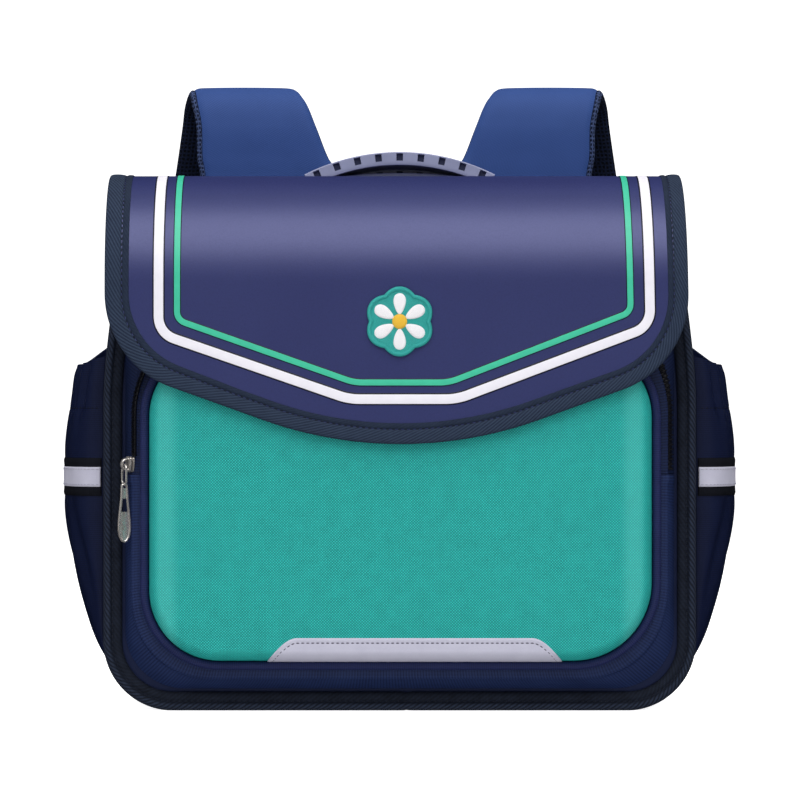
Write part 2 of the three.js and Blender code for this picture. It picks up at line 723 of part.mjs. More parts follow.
function zipSlider() {
  const { length, width, base } = SLIDER;
  const { bevel, height } = CROWN;
  const body = new THREE.BoxGeometry(width, base, length).translate(0, -GAP - base / 2, 0);
  const half = CROWN.length / 2;
  const arch = new THREE.Shape(
    sectionOf(
      [base / 2, -half],
      [height - bevel, bevel - half],
      [height, -half / 2],
      [height, half / 2],
      [height - bevel, half - bevel],
      [base / 2, half],
    ),
  );
  arch.holes.push(new THREE.Path().absarc(CROWN_HOLE, 0, CROWN.hole, 0, 2 * Math.PI, true));
  return geometryOf(solidOf(body).add(solidOf(uprightPlate(arch, CROWN.width))));
}

function zipLink() {
  const { wire, sides, halfWidth, corner: radius, length, hang } = LINK;
  const line = trace(
    [
      { x: -halfWidth, y: -hang - length, radius },
      { x: halfWidth, y: -hang - length, radius },
      { x: halfWidth, y: -hang, radius },
      { x: -halfWidth, y: -hang, radius },
    ],
    { closed: true },
  );
  const centre = new THREE.Vector2();
  const section = Array.from({ length: sides }, (_, k) => {
    return new THREE.Vector2(wire, 0).rotateAround(centre, (2 * Math.PI * k) / sides);
  });
  const place = (i, p) => {
    const { x, y, inward } = line[i];
    return new THREE.Vector3(x + inward.x * p.x, p.y - CROWN_HOLE, y + inward.y * p.x);
  };
  return loft(section, line.length, place, true);
}

// Teardrop plate with an eye for the link and a slit below it
function zipPuller() {
  const { length, halfWidth, halfNeck, thickness, eye, rim } = PULLER;
  const top = EYE_HEIGHT + eye + rim;
  const round = top - length + halfWidth;
  const shape = new THREE.Shape();
  shape.moveTo(CROWN_HOLE - halfNeck, top - PULLER_BEVEL.down);
  shape.lineTo(CROWN_HOLE - halfWidth, round);
  shape.absarc(CROWN_HOLE, round, halfWidth, Math.PI, 2 * Math.PI, false);
  shape.lineTo(CROWN_HOLE + halfNeck, top - PULLER_BEVEL.down);
  shape.lineTo(CROWN_HOLE + halfNeck - PULLER_BEVEL.across, top);
  shape.lineTo(CROWN_HOLE - halfNeck + PULLER_BEVEL.across, top);
  shape.holes.push(new THREE.Path().absarc(CROWN_HOLE, EYE_HEIGHT, eye, 0, 2 * Math.PI, true));
  const slitTop = top - PULLER_SLIT.top;
  const slit = new THREE.Path();
  slit.moveTo(CROWN_HOLE, slitTop);
  slit.lineTo(CROWN_HOLE + PULLER_SLIT.halfWidth, slitTop - PULLER_SLIT.length);
  slit.lineTo(CROWN_HOLE - PULLER_SLIT.halfWidth, slitTop - PULLER_SLIT.length);
  shape.holes.push(slit);
  return uprightPlate(shape, thickness);
}

// Side pockets

const SIDE_STEPS = 18;
const POUCH_ROWS = 10;
const TAPE_ROWS = 2;
const SIDE_MIDDLE = (SIDE_POCKET.front + SIDE_POCKET.back) / 2;
const SIDE_HALF_DEPTH = (SIDE_POCKET.back - SIDE_POCKET.front) / 2;

// Outer face of a side panel at a height
function sideX(z) {
  const radius = BODY_CORNER - SIDE_INSET;
  const drop = Math.max(radius - z, 0);
  return BODY_HALF_WIDTH - SIDE_INSET - radius + Math.sqrt(radius ** 2 - drop ** 2);
}

// Outer face of a side pocket: full in the middle, sewn down at its front and back edges, gathered at its
// mouth. share runs from -1 at the front edge to 1 at the back edge.
function pouchX(share, z) {
  const fullness = Math.pow(Math.max(1 - share ** 2, 0), POUCH_ROUNDING);
  const y = SIDE_MIDDLE + share * SIDE_HALF_DEPTH;
  const gathered = smoothStep(GATHER.from, GATHER.to, z);
  let dip = 0;
  GATHERS.forEach((fold) => {
    dip += fold.depth * Math.exp(-(((y - fold.y) / fold.spread) ** 2));
  });
  const bulge = tableAt(SIDE_POCKET_ROWS, 'z', 'bulge', z);
  const ease = CORNER_EASE.off * (1 - smoothStep(CORNER_EASE.from, CORNER_EASE.to, z));
  return sideX(z) + GAP + SIDE_POCKET.thickness + ease + fullness * (bulge - gathered * dip);
}

function shareAt(i) {
  return -Math.cos((Math.PI * i) / SIDE_STEPS);
}

function sidePocket(side) {
  const { thickness, foot, mouth, mouthRise } = SIDE_POCKET;
  return loft(sheetSection(POUCH_ROWS), SIDE_STEPS, (i, p) => {
    const share = shareAt(i);
    const z = THREE.MathUtils.lerp(foot, mouth + mouthRise * share ** 2, p.along);
    const x = pouchX(share, z) - p.inside * thickness;
    const y = SIDE_MIDDLE + share * (SIDE_HALF_DEPTH - p.inside * thickness);
    return new THREE.Vector3(side * x, y, z);
  });
}

// Tape round a side pocket, lying at the given distance off it and stopping short of its two edges
function pocketTape(side, { bottom, top, thickness }, off, short) {
  return loft(sheetSection(TAPE_ROWS), SIDE_STEPS - 2 * short, (i, p) => {
    const share = shareAt(i + short);
    const z = THREE.MathUtils.lerp(bottom, top, p.along);
    const out = off + (1 - p.inside) * thickness;
    const y = SIDE_MIDDLE + share * (SIDE_HALF_DEPTH + out);
    return new THREE.Vector3(side * (pouchX(share, z) + out), y, z);
  });
}

// Handle

function gripTop(x) {
  return HANDLE.crest - HANDLE.radius + Math.sqrt(HANDLE.radius ** 2 - x ** 2);
}

function gripThickness(x) {
  const thinned = smoothStep(HANDLE.thinning, HANDLE.halfLength, Math.abs(x));
  return THREE.MathUtils.lerp(HANDLE.thickness, HANDLE.endThickness, thinned);
}

function handleGrip() {
  const half = HANDLE.depth / 2;
  const { width, rise } = HANDLE.edge;
  const section = sectionOf(
    [-half, rise],
    [width - half, 0],
    [half - width, 0],
    [half, rise],
    [half, 1 - rise],
    [half - width, 1],
    [width - half, 1],
    [-half, 1 - rise],
  );
  const bar = loft(section, HANDLE.steps, (i, p) => {
    const x = HANDLE.halfLength * ((2 * i) / HANDLE.steps - 1);
    return new THREE.Vector3(x, HANDLE.y + p.x, gripTop(x) - gripThickness(x) * (1 - p.y));
  });
  let grip = solidOf(bar);
  for (let k = 0; k < WINDOW.count; k++) {
    const x = (k - (WINDOW.count - 1) / 2) * WINDOW.pitch;
    const height = WINDOW.share * gripThickness(x);
    const slope = Math.asin(x / HANDLE.radius);
    [-1, 1].forEach((face) => {
      const window = new THREE.BoxGeometry(WINDOW.size, 2 * WINDOW.depth, height);
      window.rotateY(slope).translate(x, HANDLE.y + face * half, gripTop(x) - gripThickness(x) / 2);
      grip = grip.subtract(solidOf(window));
    });
  }
  return geometryOf(grip);
}

// Low moulded strip on the flap under the grip
function handleBase() {
  const { halfLength, depth, crest, end, edge, steps } = HANDLE_BASE;
  const half = depth / 2;
  const foot = FLAP.top + GAP;
  const section = sectionOf(
    [-half, 0],
    [half, 0],
    [half, 1 - edge.rise],
    [half - edge.width, 1],
    [edge.width - half, 1],
    [-half, 1 - edge.rise],
  );
  return loft(section, steps, (i, p) => {
    const share = (2 * i) / steps - 1;
    const top = end + (crest - end) * (1 - share ** 2);
    return new THREE.Vector3(share * halfLength, HANDLE.y + p.x, THREE.MathUtils.lerp(foot, top, p.y));
  });
}

// Shoulder straps

const ACROSS = new THREE.Vector3(1, 0, 0);

// Frames along a strap through the rows of its table: place, direction along and out, and width across, in X
function strapFrames(rows, side) {
  const points = rows.map((row) => new THREE.Vector3(-side * row.x, row.y, row.z));
  const curve = new THREE.CatmullRomCurve3(points, false, 'centripetal');
  const count = (rows.length - 1) * STRAP_STEPS;
  return Array.from({ length: count + 1 }, (_, i) => {
    const along = curve.getTangent(i / count).setX(0).normalize();
    const k = Math.min(Math.floor(i / STRAP_STEPS), rows.length - 2);
    const width = THREE.MathUtils.lerp(rows[k].width, rows[k + 1].width, i / STRAP_STEPS - k);
    return { at: curve.getPoint(i / count), along, out: ACROSS.clone().cross(along), width };
  });
}

function ribbon(frames, section) {
  return loft(section, frames.length - 1, (i, p) => {
    const { at, out, width } = frames[i];
    return at.clone().addScaledVector(ACROSS, p.x * width).addScaledVector(out, p.y);
  });
}

function strap(side) {
  const half = STRAP_THICKNESS / 2;
  const flat = 0.5 - STRAP_EDGE.width;
  const shoulder = half * (1 - STRAP_EDGE.rise);
  const section = sectionOf(
    [-0.5, -shoulder],
    [-flat, -half],
    [flat, -half],
    [0.5, -shoulder],
    [0.5, shoulder],
    [flat, half],
    [-flat, half],
    [-0.5, shoulder],
  );
  return ribbon(strapFrames(STRAP_ROWS, side), section);
}

function webbing(side) {
  const half = WEBBING_THICKNESS / 2;
  const section = sectionOf([-0.5, -half], [0.5, -half], [0.5, half], [-0.5, half]);
  return ribbon(strapFrames(WEBBING_ROWS, side), section);
}

// Plain ladder buckle: a plate with two slots
function adjuster() {
  const { width, height, thickness, bar } = ADJUSTER;
  const outline = new THREE.Shape();
  outline.moveTo(-width / 2, -height / 2).lineTo(width / 2, -height / 2);
  outline.lineTo(width / 2, height / 2).lineTo(-width / 2, height / 2);
  const slot = (height - 3 * bar) / 2;
  [bar / 2, -bar / 2 - slot].forEach((low) => {
    const hole = new THREE.Path();
    hole.moveTo(bar - width / 2, low).lineTo(bar - width / 2, low + slot);
    hole.lineTo(width / 2 - bar, low + slot).lineTo(width / 2 - bar, low);
    outline.holes.push(hole);
  });
  return plate(outline, thickness).translate(0, thickness / 2, 0);
}

// The buckle hangs in line with the strap's lower end
function placeAdjuster(mesh, side) {
  const end = strapFrames(STRAP_ROWS, side).at(-1);
  mesh.position.copy(end.at).addScaledVector(end.along, GAP + ADJUSTER.height / 2);
  mesh.setRotationFromMatrix(new THREE.Matrix4().makeBasis(ACROSS, end.out, end.along.clone().negate()));
}

piece('base_panel', new THREE.BoxGeometry(2 * SPLIT - GAP, SIDE_BACK - SIDE_FRONT, WALL), 'nylon')
  .position.set(0, (SIDE_FRONT + SIDE_BACK) / 2, WALL / 2);
const frontWall = new THREE.Shape(closedBody(BINDING_BLOCK + GAP, FRONT_WALL_TOP, UPPER_CORNER));
const frontWallPlate = plate(frontWall, FRONT_WALL_BACK - FRONT_WALL_FACE);
piece('front_wall', frontWallPlate, 'nylon').position.y = FRONT_WALL_BACK;
piece('back_panel', backPanel(), 'nylon');
piece('front_binding', bodyBinding(FRONT_BINDING), 'binding');
piece('back_binding', bodyBinding(BACK_BINDING), 'binding');

piece('pocket_gusset', band(lowerLine), 'nylon');
piece('zip_tape', band(upperLine), 'binding');
piece('zip_coil', zipCoil(), 'plastic');
piece('panel_piping', panelPiping(), 'piping');
piece('pocket_panel', pocketPanel(), 'teal');
piece('reflective_trim', reflectiveTrim(), 'reflective');
const zip = zipGroup();
piece('zip_slider', zipSlider(), 'nickel', zip);
piece('zip_link', zipLink(), 'nickel', zip);
piece('zip_puller', zipPuller(), 'nickel', zip);

piece('flap', flap(), 'leather');
piece('flap_binding', flapBinding(), 'flapBinding');
piece('stripe_white', flapStripe(WHITE_STRIPE), 'white');
piece('stripe_green', flapStripe(GREEN_STRIPE), 'green');
piece('badge', badge(), 'badge').position.set(0, FLAP.front - GAP, BADGE.height);

piece('handle_grip', handleGrip(), 'handle');
piece('handle_base', handleBase(), 'handle');

const SIDES = [
  { name: 'left', side: -1 },
  { name: 'right', side: 1 },
];
const BAND_FACE = 2 * GAP + SIDE_BAND.thickness;
SIDES.forEach(({ name, side }) => {
  piece(`side_panel_${name}`, sidePanel(side), 'nylon');
  piece(`side_pocket_${name}`, sidePocket(side), 'nylon');
  piece(`side_band_${name}`, pocketTape(side, SIDE_BAND, GAP, 1), 'binding');
  piece(`side_reflector_${name}`, pocketTape(side, SIDE_REFLECTOR, BAND_FACE, 2), 'reflective');
  piece(`strap_${name}`, strap(side), 'strap');
  placeAdjuster(piece(`strap_adjuster_${name}`, adjuster(), 'plastic'), side);
  piece(`strap_webbing_${name}`, webbing(side), 'webbing');
});

export default group;
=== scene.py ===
"""Looks of a child's flap-top school backpack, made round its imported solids.

Sizes are millimetres until a mesh is made. +X is to the right of someone who faces the front, +Y runs from
the front towards the wearer's back, and +Z is up.
"""

import bmesh
import bpy
import numpy as np
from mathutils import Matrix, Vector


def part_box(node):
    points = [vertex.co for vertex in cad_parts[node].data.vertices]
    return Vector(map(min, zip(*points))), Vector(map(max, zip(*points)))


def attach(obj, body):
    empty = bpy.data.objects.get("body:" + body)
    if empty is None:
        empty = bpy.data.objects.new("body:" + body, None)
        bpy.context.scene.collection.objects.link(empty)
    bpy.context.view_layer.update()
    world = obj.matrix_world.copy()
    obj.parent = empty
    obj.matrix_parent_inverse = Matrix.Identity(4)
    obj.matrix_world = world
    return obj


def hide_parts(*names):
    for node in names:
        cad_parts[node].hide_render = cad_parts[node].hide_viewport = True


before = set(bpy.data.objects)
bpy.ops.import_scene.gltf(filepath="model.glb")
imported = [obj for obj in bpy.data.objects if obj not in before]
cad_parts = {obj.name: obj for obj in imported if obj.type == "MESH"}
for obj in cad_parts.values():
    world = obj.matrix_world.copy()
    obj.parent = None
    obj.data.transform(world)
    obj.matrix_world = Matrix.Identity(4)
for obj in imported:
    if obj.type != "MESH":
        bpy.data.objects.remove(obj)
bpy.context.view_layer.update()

MM = 0.001
UV_NAME = "surface_mm"  # every new mesh carries its own lengths, in millimetres, in this UV map
SAME_PLACE = 2e-6  # metres; points closer than this are merged
SHARP = np.radians(42)  # edges that turn by more than this stay sharp


def reach(node):
    """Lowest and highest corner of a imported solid, in millimetres."""
    low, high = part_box(node)
    return np.array(low) / MM, np.array(high) / MM


# Sizes shared with the solids
FLAP_LOW, FLAP_HIGH = reach("flap")
FLAP_FRONT, FLAP_BACK = FLAP_LOW[1], FLAP_HIGH[1]
FLAP_TOP = FLAP_HIGH[2] + 1.1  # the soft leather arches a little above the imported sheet
FLAP_ROLL = 66  # radius over the front edge
FLAP_BEND = 14  # radius over the back edge
FLAP_TAIL = 17  # sewn to the back panel
FLAP_THICKNESS = 2.4
FLAP_LEFT, FLAP_RIGHT = 175.5, 172.8  # the leather hangs a little to the left
FLAP_LEAN = 0.019  # its right edge leans in by this much a millimetre
FLAP_CORNER = 58.4  # radius of its lower corners
FLAP_TIP = (0.7, 148.5, 243)  # where its lower edges would meet, and the radius there
FLAP_SLOPE = 0.361  # of its lower edges
STRIPE_STOP = 6  # the flap's tape and stripes stop this far in front of the back bend

BODY_HALF = 180
BODY_CORNER = 42
BODY_LEAN = 9.5  # the empty bag's sides lean in by this much at the top
LEAN_RANGE = (185, 300)  # heights where the lean begins and is full
SIDE_X = reach("side_panel_right")[1][0]  # outer face of the side panels
SIDE_RADIUS = BODY_CORNER - (BODY_HALF - SIDE_X)
SIDE_LOW, SIDE_HIGH = reach("side_panel_right")
# The pocket's outline on the body and at its front. The corners are radii, and the upper two are alike
POCKET_KEYS = ("half", "bottom", "top", "corner", "low_left", "low_right", "y")
POCKET_BASE = dict(zip(POCKET_KEYS, (167, 13.4, 248, 36, 36, 36, -64)))
POCKET_FRONT = dict(zip(POCKET_KEYS, (157.3, 25.9, 226, 47, 48, 53, -84)))
ZIP_END = 144
PANEL_INSET = 5.6  # of the teal panel from the pocket's front edge
PANEL_SHIFT = 0.5  # the panel is sewn a little to the right of the middle
PANEL_ROLL = 12  # depth of its rolled edge
PANEL_ROLL_IN = 7  # how far in from its edge the roll reaches
PANEL_LOW, PANEL_HIGH = reach("pocket_panel")
PANEL_BOTTOM = POCKET_FRONT["bottom"] + PANEL_INSET


# Arrays and meshes


def unit(vectors):
    """Vectors of length 1 in the same directions."""
    return vectors / np.linalg.norm(vectors, axis=-1, keepdims=True)


def travel(points):
    """Distance along a run of points, from its first one."""
    steps = np.linalg.norm(np.diff(points, axis=0), axis=1)
    return np.concatenate([[0], np.cumsum(steps)])


def ease(low, high, value):
    """0 below low, 1 above high, and a smooth S between them."""
    share = np.clip((value - low) / (high - low), 0, 1)
    return share * share * (3 - 2 * share)


def hump(value, middle, spread):
    """A bell of height 1: e to the power of minus the squared distance from its middle."""
    return np.exp(-(((value - middle) / spread) ** 2))


def spline(rows, per_row):
    """Smooth curve through the rows of a table: between two rows it is the cubic whose slope at each row is
    half the difference of that row's neighbours."""
    rows = np.asarray(rows, float)
    padded = np.concatenate([2 * rows[:1] - rows[1:2], rows, 2 * rows[-1:] - rows[-2:-1]])[:, None]
    a, b, c, d = padded[:-3], padded[1:-2], padded[2:-1], padded[3:]
    t = np.linspace(0, 1, per_row, endpoint=False)[None, :, None]
    curve = 0.5 * (2 * b + (c - a) * t + (2 * a - 5 * b + 4 * c - d) * t**2 + (3 * b - a - 3 * c + d) * t**3)
    return np.concatenate([curve.reshape(-1, rows.shape[1]), rows[-1:]])


def read_off(at, along, rows):
    """Rows of a table at new places: its own rows lie at the distances along, and the new ones are read off
    straight between them."""
    return np.stack([np.interp(at, along, column) for column in rows.T], axis=1)


def resample(rows, step, columns=None):
    """The same line with its points an equal distance apart, measured in its first columns."""
    along = travel(rows[:, :columns])
    at = np.linspace(0, along[-1], int(np.ceil(along[-1] / step)) + 1)
    return read_off(at, along, rows)


def circle(count):
    """Angles of points that lie evenly round a circle."""
    return np.linspace(0, 2 * np.pi, count, endpoint=False)


def squared(value, power):
    """A sine or cosine pressed towards 1 and -1: it keeps its sign, and its size is raised to the power."""
    return np.sign(value) * np.abs(value) ** power


def and_last(distances, step):
    """Distances round a loop, with one more for the step from its last point back to its first."""
    return np.append(distances, distances[-1] + step)


ARC_POINTS = 25


def rounded_line(corners, step, closed=False):
    """Line through corners (x, z, radius), where each corner is an arc tangent to the runs beside it.

    Returns evenly spaced points and the unit directions to the left of travel.
    """
    corners = np.array(corners, float)
    place, radius = corners[:, :2], corners[:, 2].copy()
    arriving = place - np.roll(place, 1, axis=0)
    leaving = np.roll(place, -1, axis=0) - place
    if not closed:
        arriving[0], leaving[-1] = leaving[0], arriving[-1]
    arriving, leaving = unit(arriving), unit(leaving)
    crossing = arriving[:, 0] * leaving[:, 1] - arriving[:, 1] * leaving[:, 0]
    turn = np.arctan2(crossing, (arriving * leaving).sum(1))
    start = place - arriving * (radius * np.tan(np.abs(turn) / 2))[:, None]
    left = np.stack([-arriving[:, 1], arriving[:, 0]], axis=1)
    bend = (np.sign(turn) * radius)[:, None]
    centre = start + left * bend
    angle = turn[:, None] * np.linspace(0, 1, ARC_POINTS)
    cos, sin = np.cos(angle), np.sin(angle)
    normal = np.stack([left[:, :1] * cos - left[:, 1:] * sin, left[:, :1] * sin + left[:, 1:] * cos], axis=-1)
    points = centre[:, None] - normal * bend[:, None]
    rows = np.concatenate([points, normal], axis=-1).reshape(-1, 4)
    if closed:
        rows = np.concatenate([rows, rows[:1]])
    even = resample(rows, step, 2)
    if closed:
        even = even[:-1]
    return even[:, :2], unit(even[:, 2:])


def lengths(along, across):
    """UV of a grid whose rows lie at the distances along, and its columns at the distances across."""
    return np.stack(np.meshgrid(along, across, indexing="ij"), axis=-1)


def skin(points, uv, wrap_rows=False, wrap_columns=False):
    """Faces of a grid of points (rows, columns, 3), joined round where it wraps. A wrapped grid's uv has
    one more row or column, for the seam."""
    rows, columns = points.shape[:2]
    i, j = np.meshgrid(np.arange(rows - 1 + wrap_rows), np.arange(columns - 1 + wrap_columns), indexing="ij")
    i = i[..., None] + np.array([0, 1, 1, 0])
    j = j[..., None] + np.array([0, 0, 1, 1])
    faces = (i % rows) * columns + j % columns
    return points.reshape(-1, 3), faces.reshape(-1, 4), uv[i, j].reshape(-1, 4, 2)


def sheet_skins(outer, inner, uv):
    """A thin sheet: its two faces, and strips that close its four edges."""
    made = [skin(outer, uv), skin(inner, uv)]
    for edge in (np.s_[0], np.s_[-1], np.s_[:, 0], np.s_[:, -1]):
        made.append(skin(np.stack([outer[edge], inner[edge]]), np.stack([uv[edge], uv[edge]])))
    return made


def rod_skin(points, along, across):
    """A closed section (columns) carried along (rows), with a fan to the section's middle at each end."""
    ends = [points[:1].mean(axis=1, keepdims=True), points[-1:].mean(axis=1, keepdims=True)]
    first, last = (np.broadcast_to(end, points[:1].shape) for end in ends)
    closed = np.concatenate([first, points, last])
    return skin(closed, lengths([along[0], *along, along[-1]], across), wrap_columns=True)


def piece(name, skins, material, replaces=()):
    """Makes one object of the skins: merges the points where they meet, turns the faces outwards and
    smooths them."""
    counts = np.cumsum([0] + [len(s[0]) for s in skins])
    points = np.concatenate([s[0] for s in skins]) * MM
    faces = np.concatenate([s[1] + offset for s, offset in zip(skins, counts)])
    mesh = bpy.data.meshes.new(name)
    mesh.from_pydata(points.tolist(), [], faces.tolist())
    uv = np.concatenate([s[2] for s in skins]).astype(np.float32)
    mesh.uv_layers.new(name=UV_NAME).data.foreach_set("uv", uv.ravel())
    return finished(name, mesh, material, replaces)


def finished(name, mesh, material, replaces):
    """Cleans a mesh and makes it an object that rides on the bag."""
    work = bmesh.new()
    work.from_mesh(mesh)
    bmesh.ops.remove_doubles(work, verts=work.verts, dist=SAME_PLACE)
    bmesh.ops.dissolve_degenerate(work, edges=work.edges, dist=SAME_PLACE)
    bmesh.ops.recalc_face_normals(work, faces=work.faces)
    work.to_mesh(mesh)
    work.free()
    mesh.shade_smooth()
    mesh.set_sharp_from_angle(angle=SHARP)
    mesh.materials.clear()
    mesh.materials.append(material)
    made = bpy.data.objects.new(name, mesh)
    bpy.context.scene.collection.objects.link(made)
    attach(made, "root")
    if replaces:
        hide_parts(*replaces)
    return made


def copied(name, node, material, bevel):
    """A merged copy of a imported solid, with its edges rounded, that follows the lean of the body."""
    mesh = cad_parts[node].data.copy()
    points = np.empty(3 * len(mesh.vertices))
    mesh.vertices.foreach_get("co", points)
    points = leaned(points.reshape(-1, 3) / MM) * MM
    mesh.vertices.foreach_set("co", points.ravel())
    made = finished(name, mesh, material, [node])
    rounding = made.modifiers.new("rounded_edges", "BEVEL")
    rounding.width = bevel * MM
    rounding.segments = 3
    rounding.limit_method = "ANGLE"
    rounding.angle_limit = np.radians(30)
    return made


def front_place(x, z, y):
    """A point of the body, whose flat outline lies in X and Z."""
    return np.stack([x, y, z], axis=-1)


def lean(z):
    """How far the body's sides have come in at a height: a smooth S from the middle to the top."""
    return BODY_LEAN * ease(*LEAN_RANGE, z)


def leaned(points):
    """Points of the body, moved in towards its middle in proportion to their distance from it."""
    x = points[..., 0] * (1 - lean(points[..., 2]) / BODY_HALF)
    return np.concatenate([x[..., None], points[..., 1:]], axis=-1)


def carried(line, inward, section, place, scale=1.0):
    """A section of (inset, out) carried along a line: each of its points lies inset from the line, to the
    left of travel, and out from the surface that place describes. scale widens its insets."""
    inset = section[None, :, :1] * np.broadcast_to(scale, len(line))[:, None, None]
    flat = line[:, None] + inward[:, None] * inset
    out = np.broadcast_to(section[:, 1], flat.shape[:2])
    return place(flat[..., 0], flat[..., 1], out)


def inside(section, thickness):
    """The inner side of an open section: each point moved by the thickness to the left of travel."""
    slope = unit(np.gradient(section, axis=0))
    return section + thickness * np.stack([-slope[:, 1], slope[:, 0]], axis=1)


BEAD_ROWS, BEAD_COLUMNS = 5, 6


def beads(centre, along, out, length, width, height):
    """Many short rounded threads: each is an ellipsoid, long in its direction along and low in its
    direction out."""
    across = unit(np.cross(out, along))
    lift = unit(np.cross(along, across))
    polar = np.linspace(0, np.pi, BEAD_ROWS)[:, None]
    turn = circle(BEAD_COLUMNS)
    shape = [
        length / 2 * np.cos(polar) * np.ones_like(turn),
        width / 2 * np.sin(polar) * np.cos(turn),
        height / 2 * np.sin(polar) * np.sin(turn),
    ]
    axes = (unit(along), across, lift)
    points = centre[:, None, None] + sum(s[None, ..., None] * v[:, None, None] for s, v in zip(shape, axes))
    one = points[0]
    uv = lengths(np.linspace(0, length, BEAD_ROWS), np.linspace(0, np.pi * width, BEAD_COLUMNS + 1))
    _, faces, corner = skin(one, uv, wrap_columns=True)
    per = one.shape[0] * one.shape[1]
    all_faces = faces[None] + per * np.arange(len(centre))[:, None, None]
    return points.reshape(-1, 3), all_faces.reshape(-1, 4), np.tile(corner, (len(centre), 1, 1))


def stitches(path, out, pitch, length=2.1, width=0.75, height=0.7):
    """A row of stitches along a path, one bead every pitch, lying on the side that out points to."""
    along = travel(path)
    at = np.arange(pitch / 2, along[-1], pitch)
    tables = (path, np.gradient(path, axis=0), out)
    return beads(*(read_off(at, along, table) for table in tables), length, width, height)


# Materials


def srgb(code):
    """Linear colour of an sRGB hex value."""
    channel = np.array([int(code[k : k + 2], 16) for k in (1, 3, 5)]) / 255
    linear = np.where(channel <= 0.04045, channel / 12.92, ((channel + 0.055) / 1.055) ** 2.4)
    return (*linear.tolist(), 1.0)


def add(tree, kind, inputs=None, **settings):
    """Adds a shader node with its settings. An input that is a socket is linked, and any other is set."""
    made = tree.nodes.new("ShaderNode" + kind)
    for name, value in settings.items():
        setattr(made, name, value)
    for key, value in (inputs or {}).items():
        if isinstance(value, bpy.types.NodeSocket):
            tree.links.new(value, made.inputs[key])
        else:
            made.inputs[key].default_value = value
    return made


def blank(name, **constants):
    """A material with one Principled shader, whose constant inputs are set on its own sockets."""
    material = bpy.data.materials.new(name)
    material.use_nodes = True
    tree = material.node_tree
    tree.nodes.clear()
    shader = add(tree, "BsdfPrincipled", {key.replace("_", " "): value for key, value in constants.items()})
    add(tree, "OutputMaterial", {"Surface": shader.outputs[0]})
    return material, tree


def linked(material, **sockets):
    """Links a socket to each named input of the material's shader, and returns the material."""
    tree = material.node_tree
    shader = tree.nodes["Principled BSDF"]
    for name, socket in sockets.items():
        tree.links.new(socket, shader.inputs[name.replace("_", " ")])
    return material


def per_metre(size):
    """Texture scale on Object coordinates for a feature of that many millimetres."""
    return 1 / (size * MM)


def waves(period):
    """Wave texture scale on the millimetre UV map: at scale 1 the texture repeats every 2 pi / 20 units."""
    return 2 * np.pi / 20 / period


LEATHER_GRAIN = 0.95
MESH_HOLE = 2.6  # spacing of the spacer mesh's holes
OXFORD_THREAD = 1.2
# The paler band at each side of the panel is a painted highlight, the side lights' sheen on its shoulder
OXFORD_SHEEN_BAND = (131, 140, 143, 151)  # distances from the middle where the paler band rises and fades


def coated_leather():
    """Bonded leather with a coated, finely embossed face: satin gloss and shallow rounded grain under 1 mm
    wide, which softens the highlight over the roll."""
    material, tree = blank("coated_leather", IOR=1.6, Specular_IOR_Level=0.9, Specular_Tint=srgb("#d2d4ff"))
    place = add(tree, "TexCoord").outputs["Object"]
    grain = add(tree, "TexVoronoi", {"Vector": place, "Scale": per_metre(LEATHER_GRAIN)}, feature="SMOOTH_F1")
    pores = add(tree, "TexNoise", {"Vector": place, "Scale": per_metre(0.5), "Detail": 3.0})
    height = add(tree, "Math", {0: grain.outputs["Distance"], 1: pores.outputs[0]}, operation="ADD")
    shade = add(tree, "TexNoise", {"Vector": place, "Scale": per_metre(70), "Detail": 2.0})
    broad = add(tree, "Mix", {0: shade.outputs[0], 6: srgb("#252c60"), 7: srgb("#2d3468")}, data_type="RGBA")
    speck = add(tree, "MapRange", {0: height.outputs[0], 1: 0.5, 2: 1.3, 3: 0.0, 4: 0.35})
    tints = {0: speck.outputs[0], 6: broad.outputs[2], 7: srgb("#1f244f")}
    colour = add(tree, "Mix", tints, data_type="RGBA")
    gloss = add(tree, "MapRange", {0: height.outputs[0], 1: 0.4, 2: 1.4, 3: 0.36, 4: 0.5})
    bump = add(tree, "Bump", {"Height": height.outputs[0], "Strength": 0.22, "Distance": 0.00012})
    sockets = {"Roughness": gloss.outputs[0], "Normal": bump.outputs[0]}
    return linked(material, Base_Color=colour.outputs[2], **sockets)


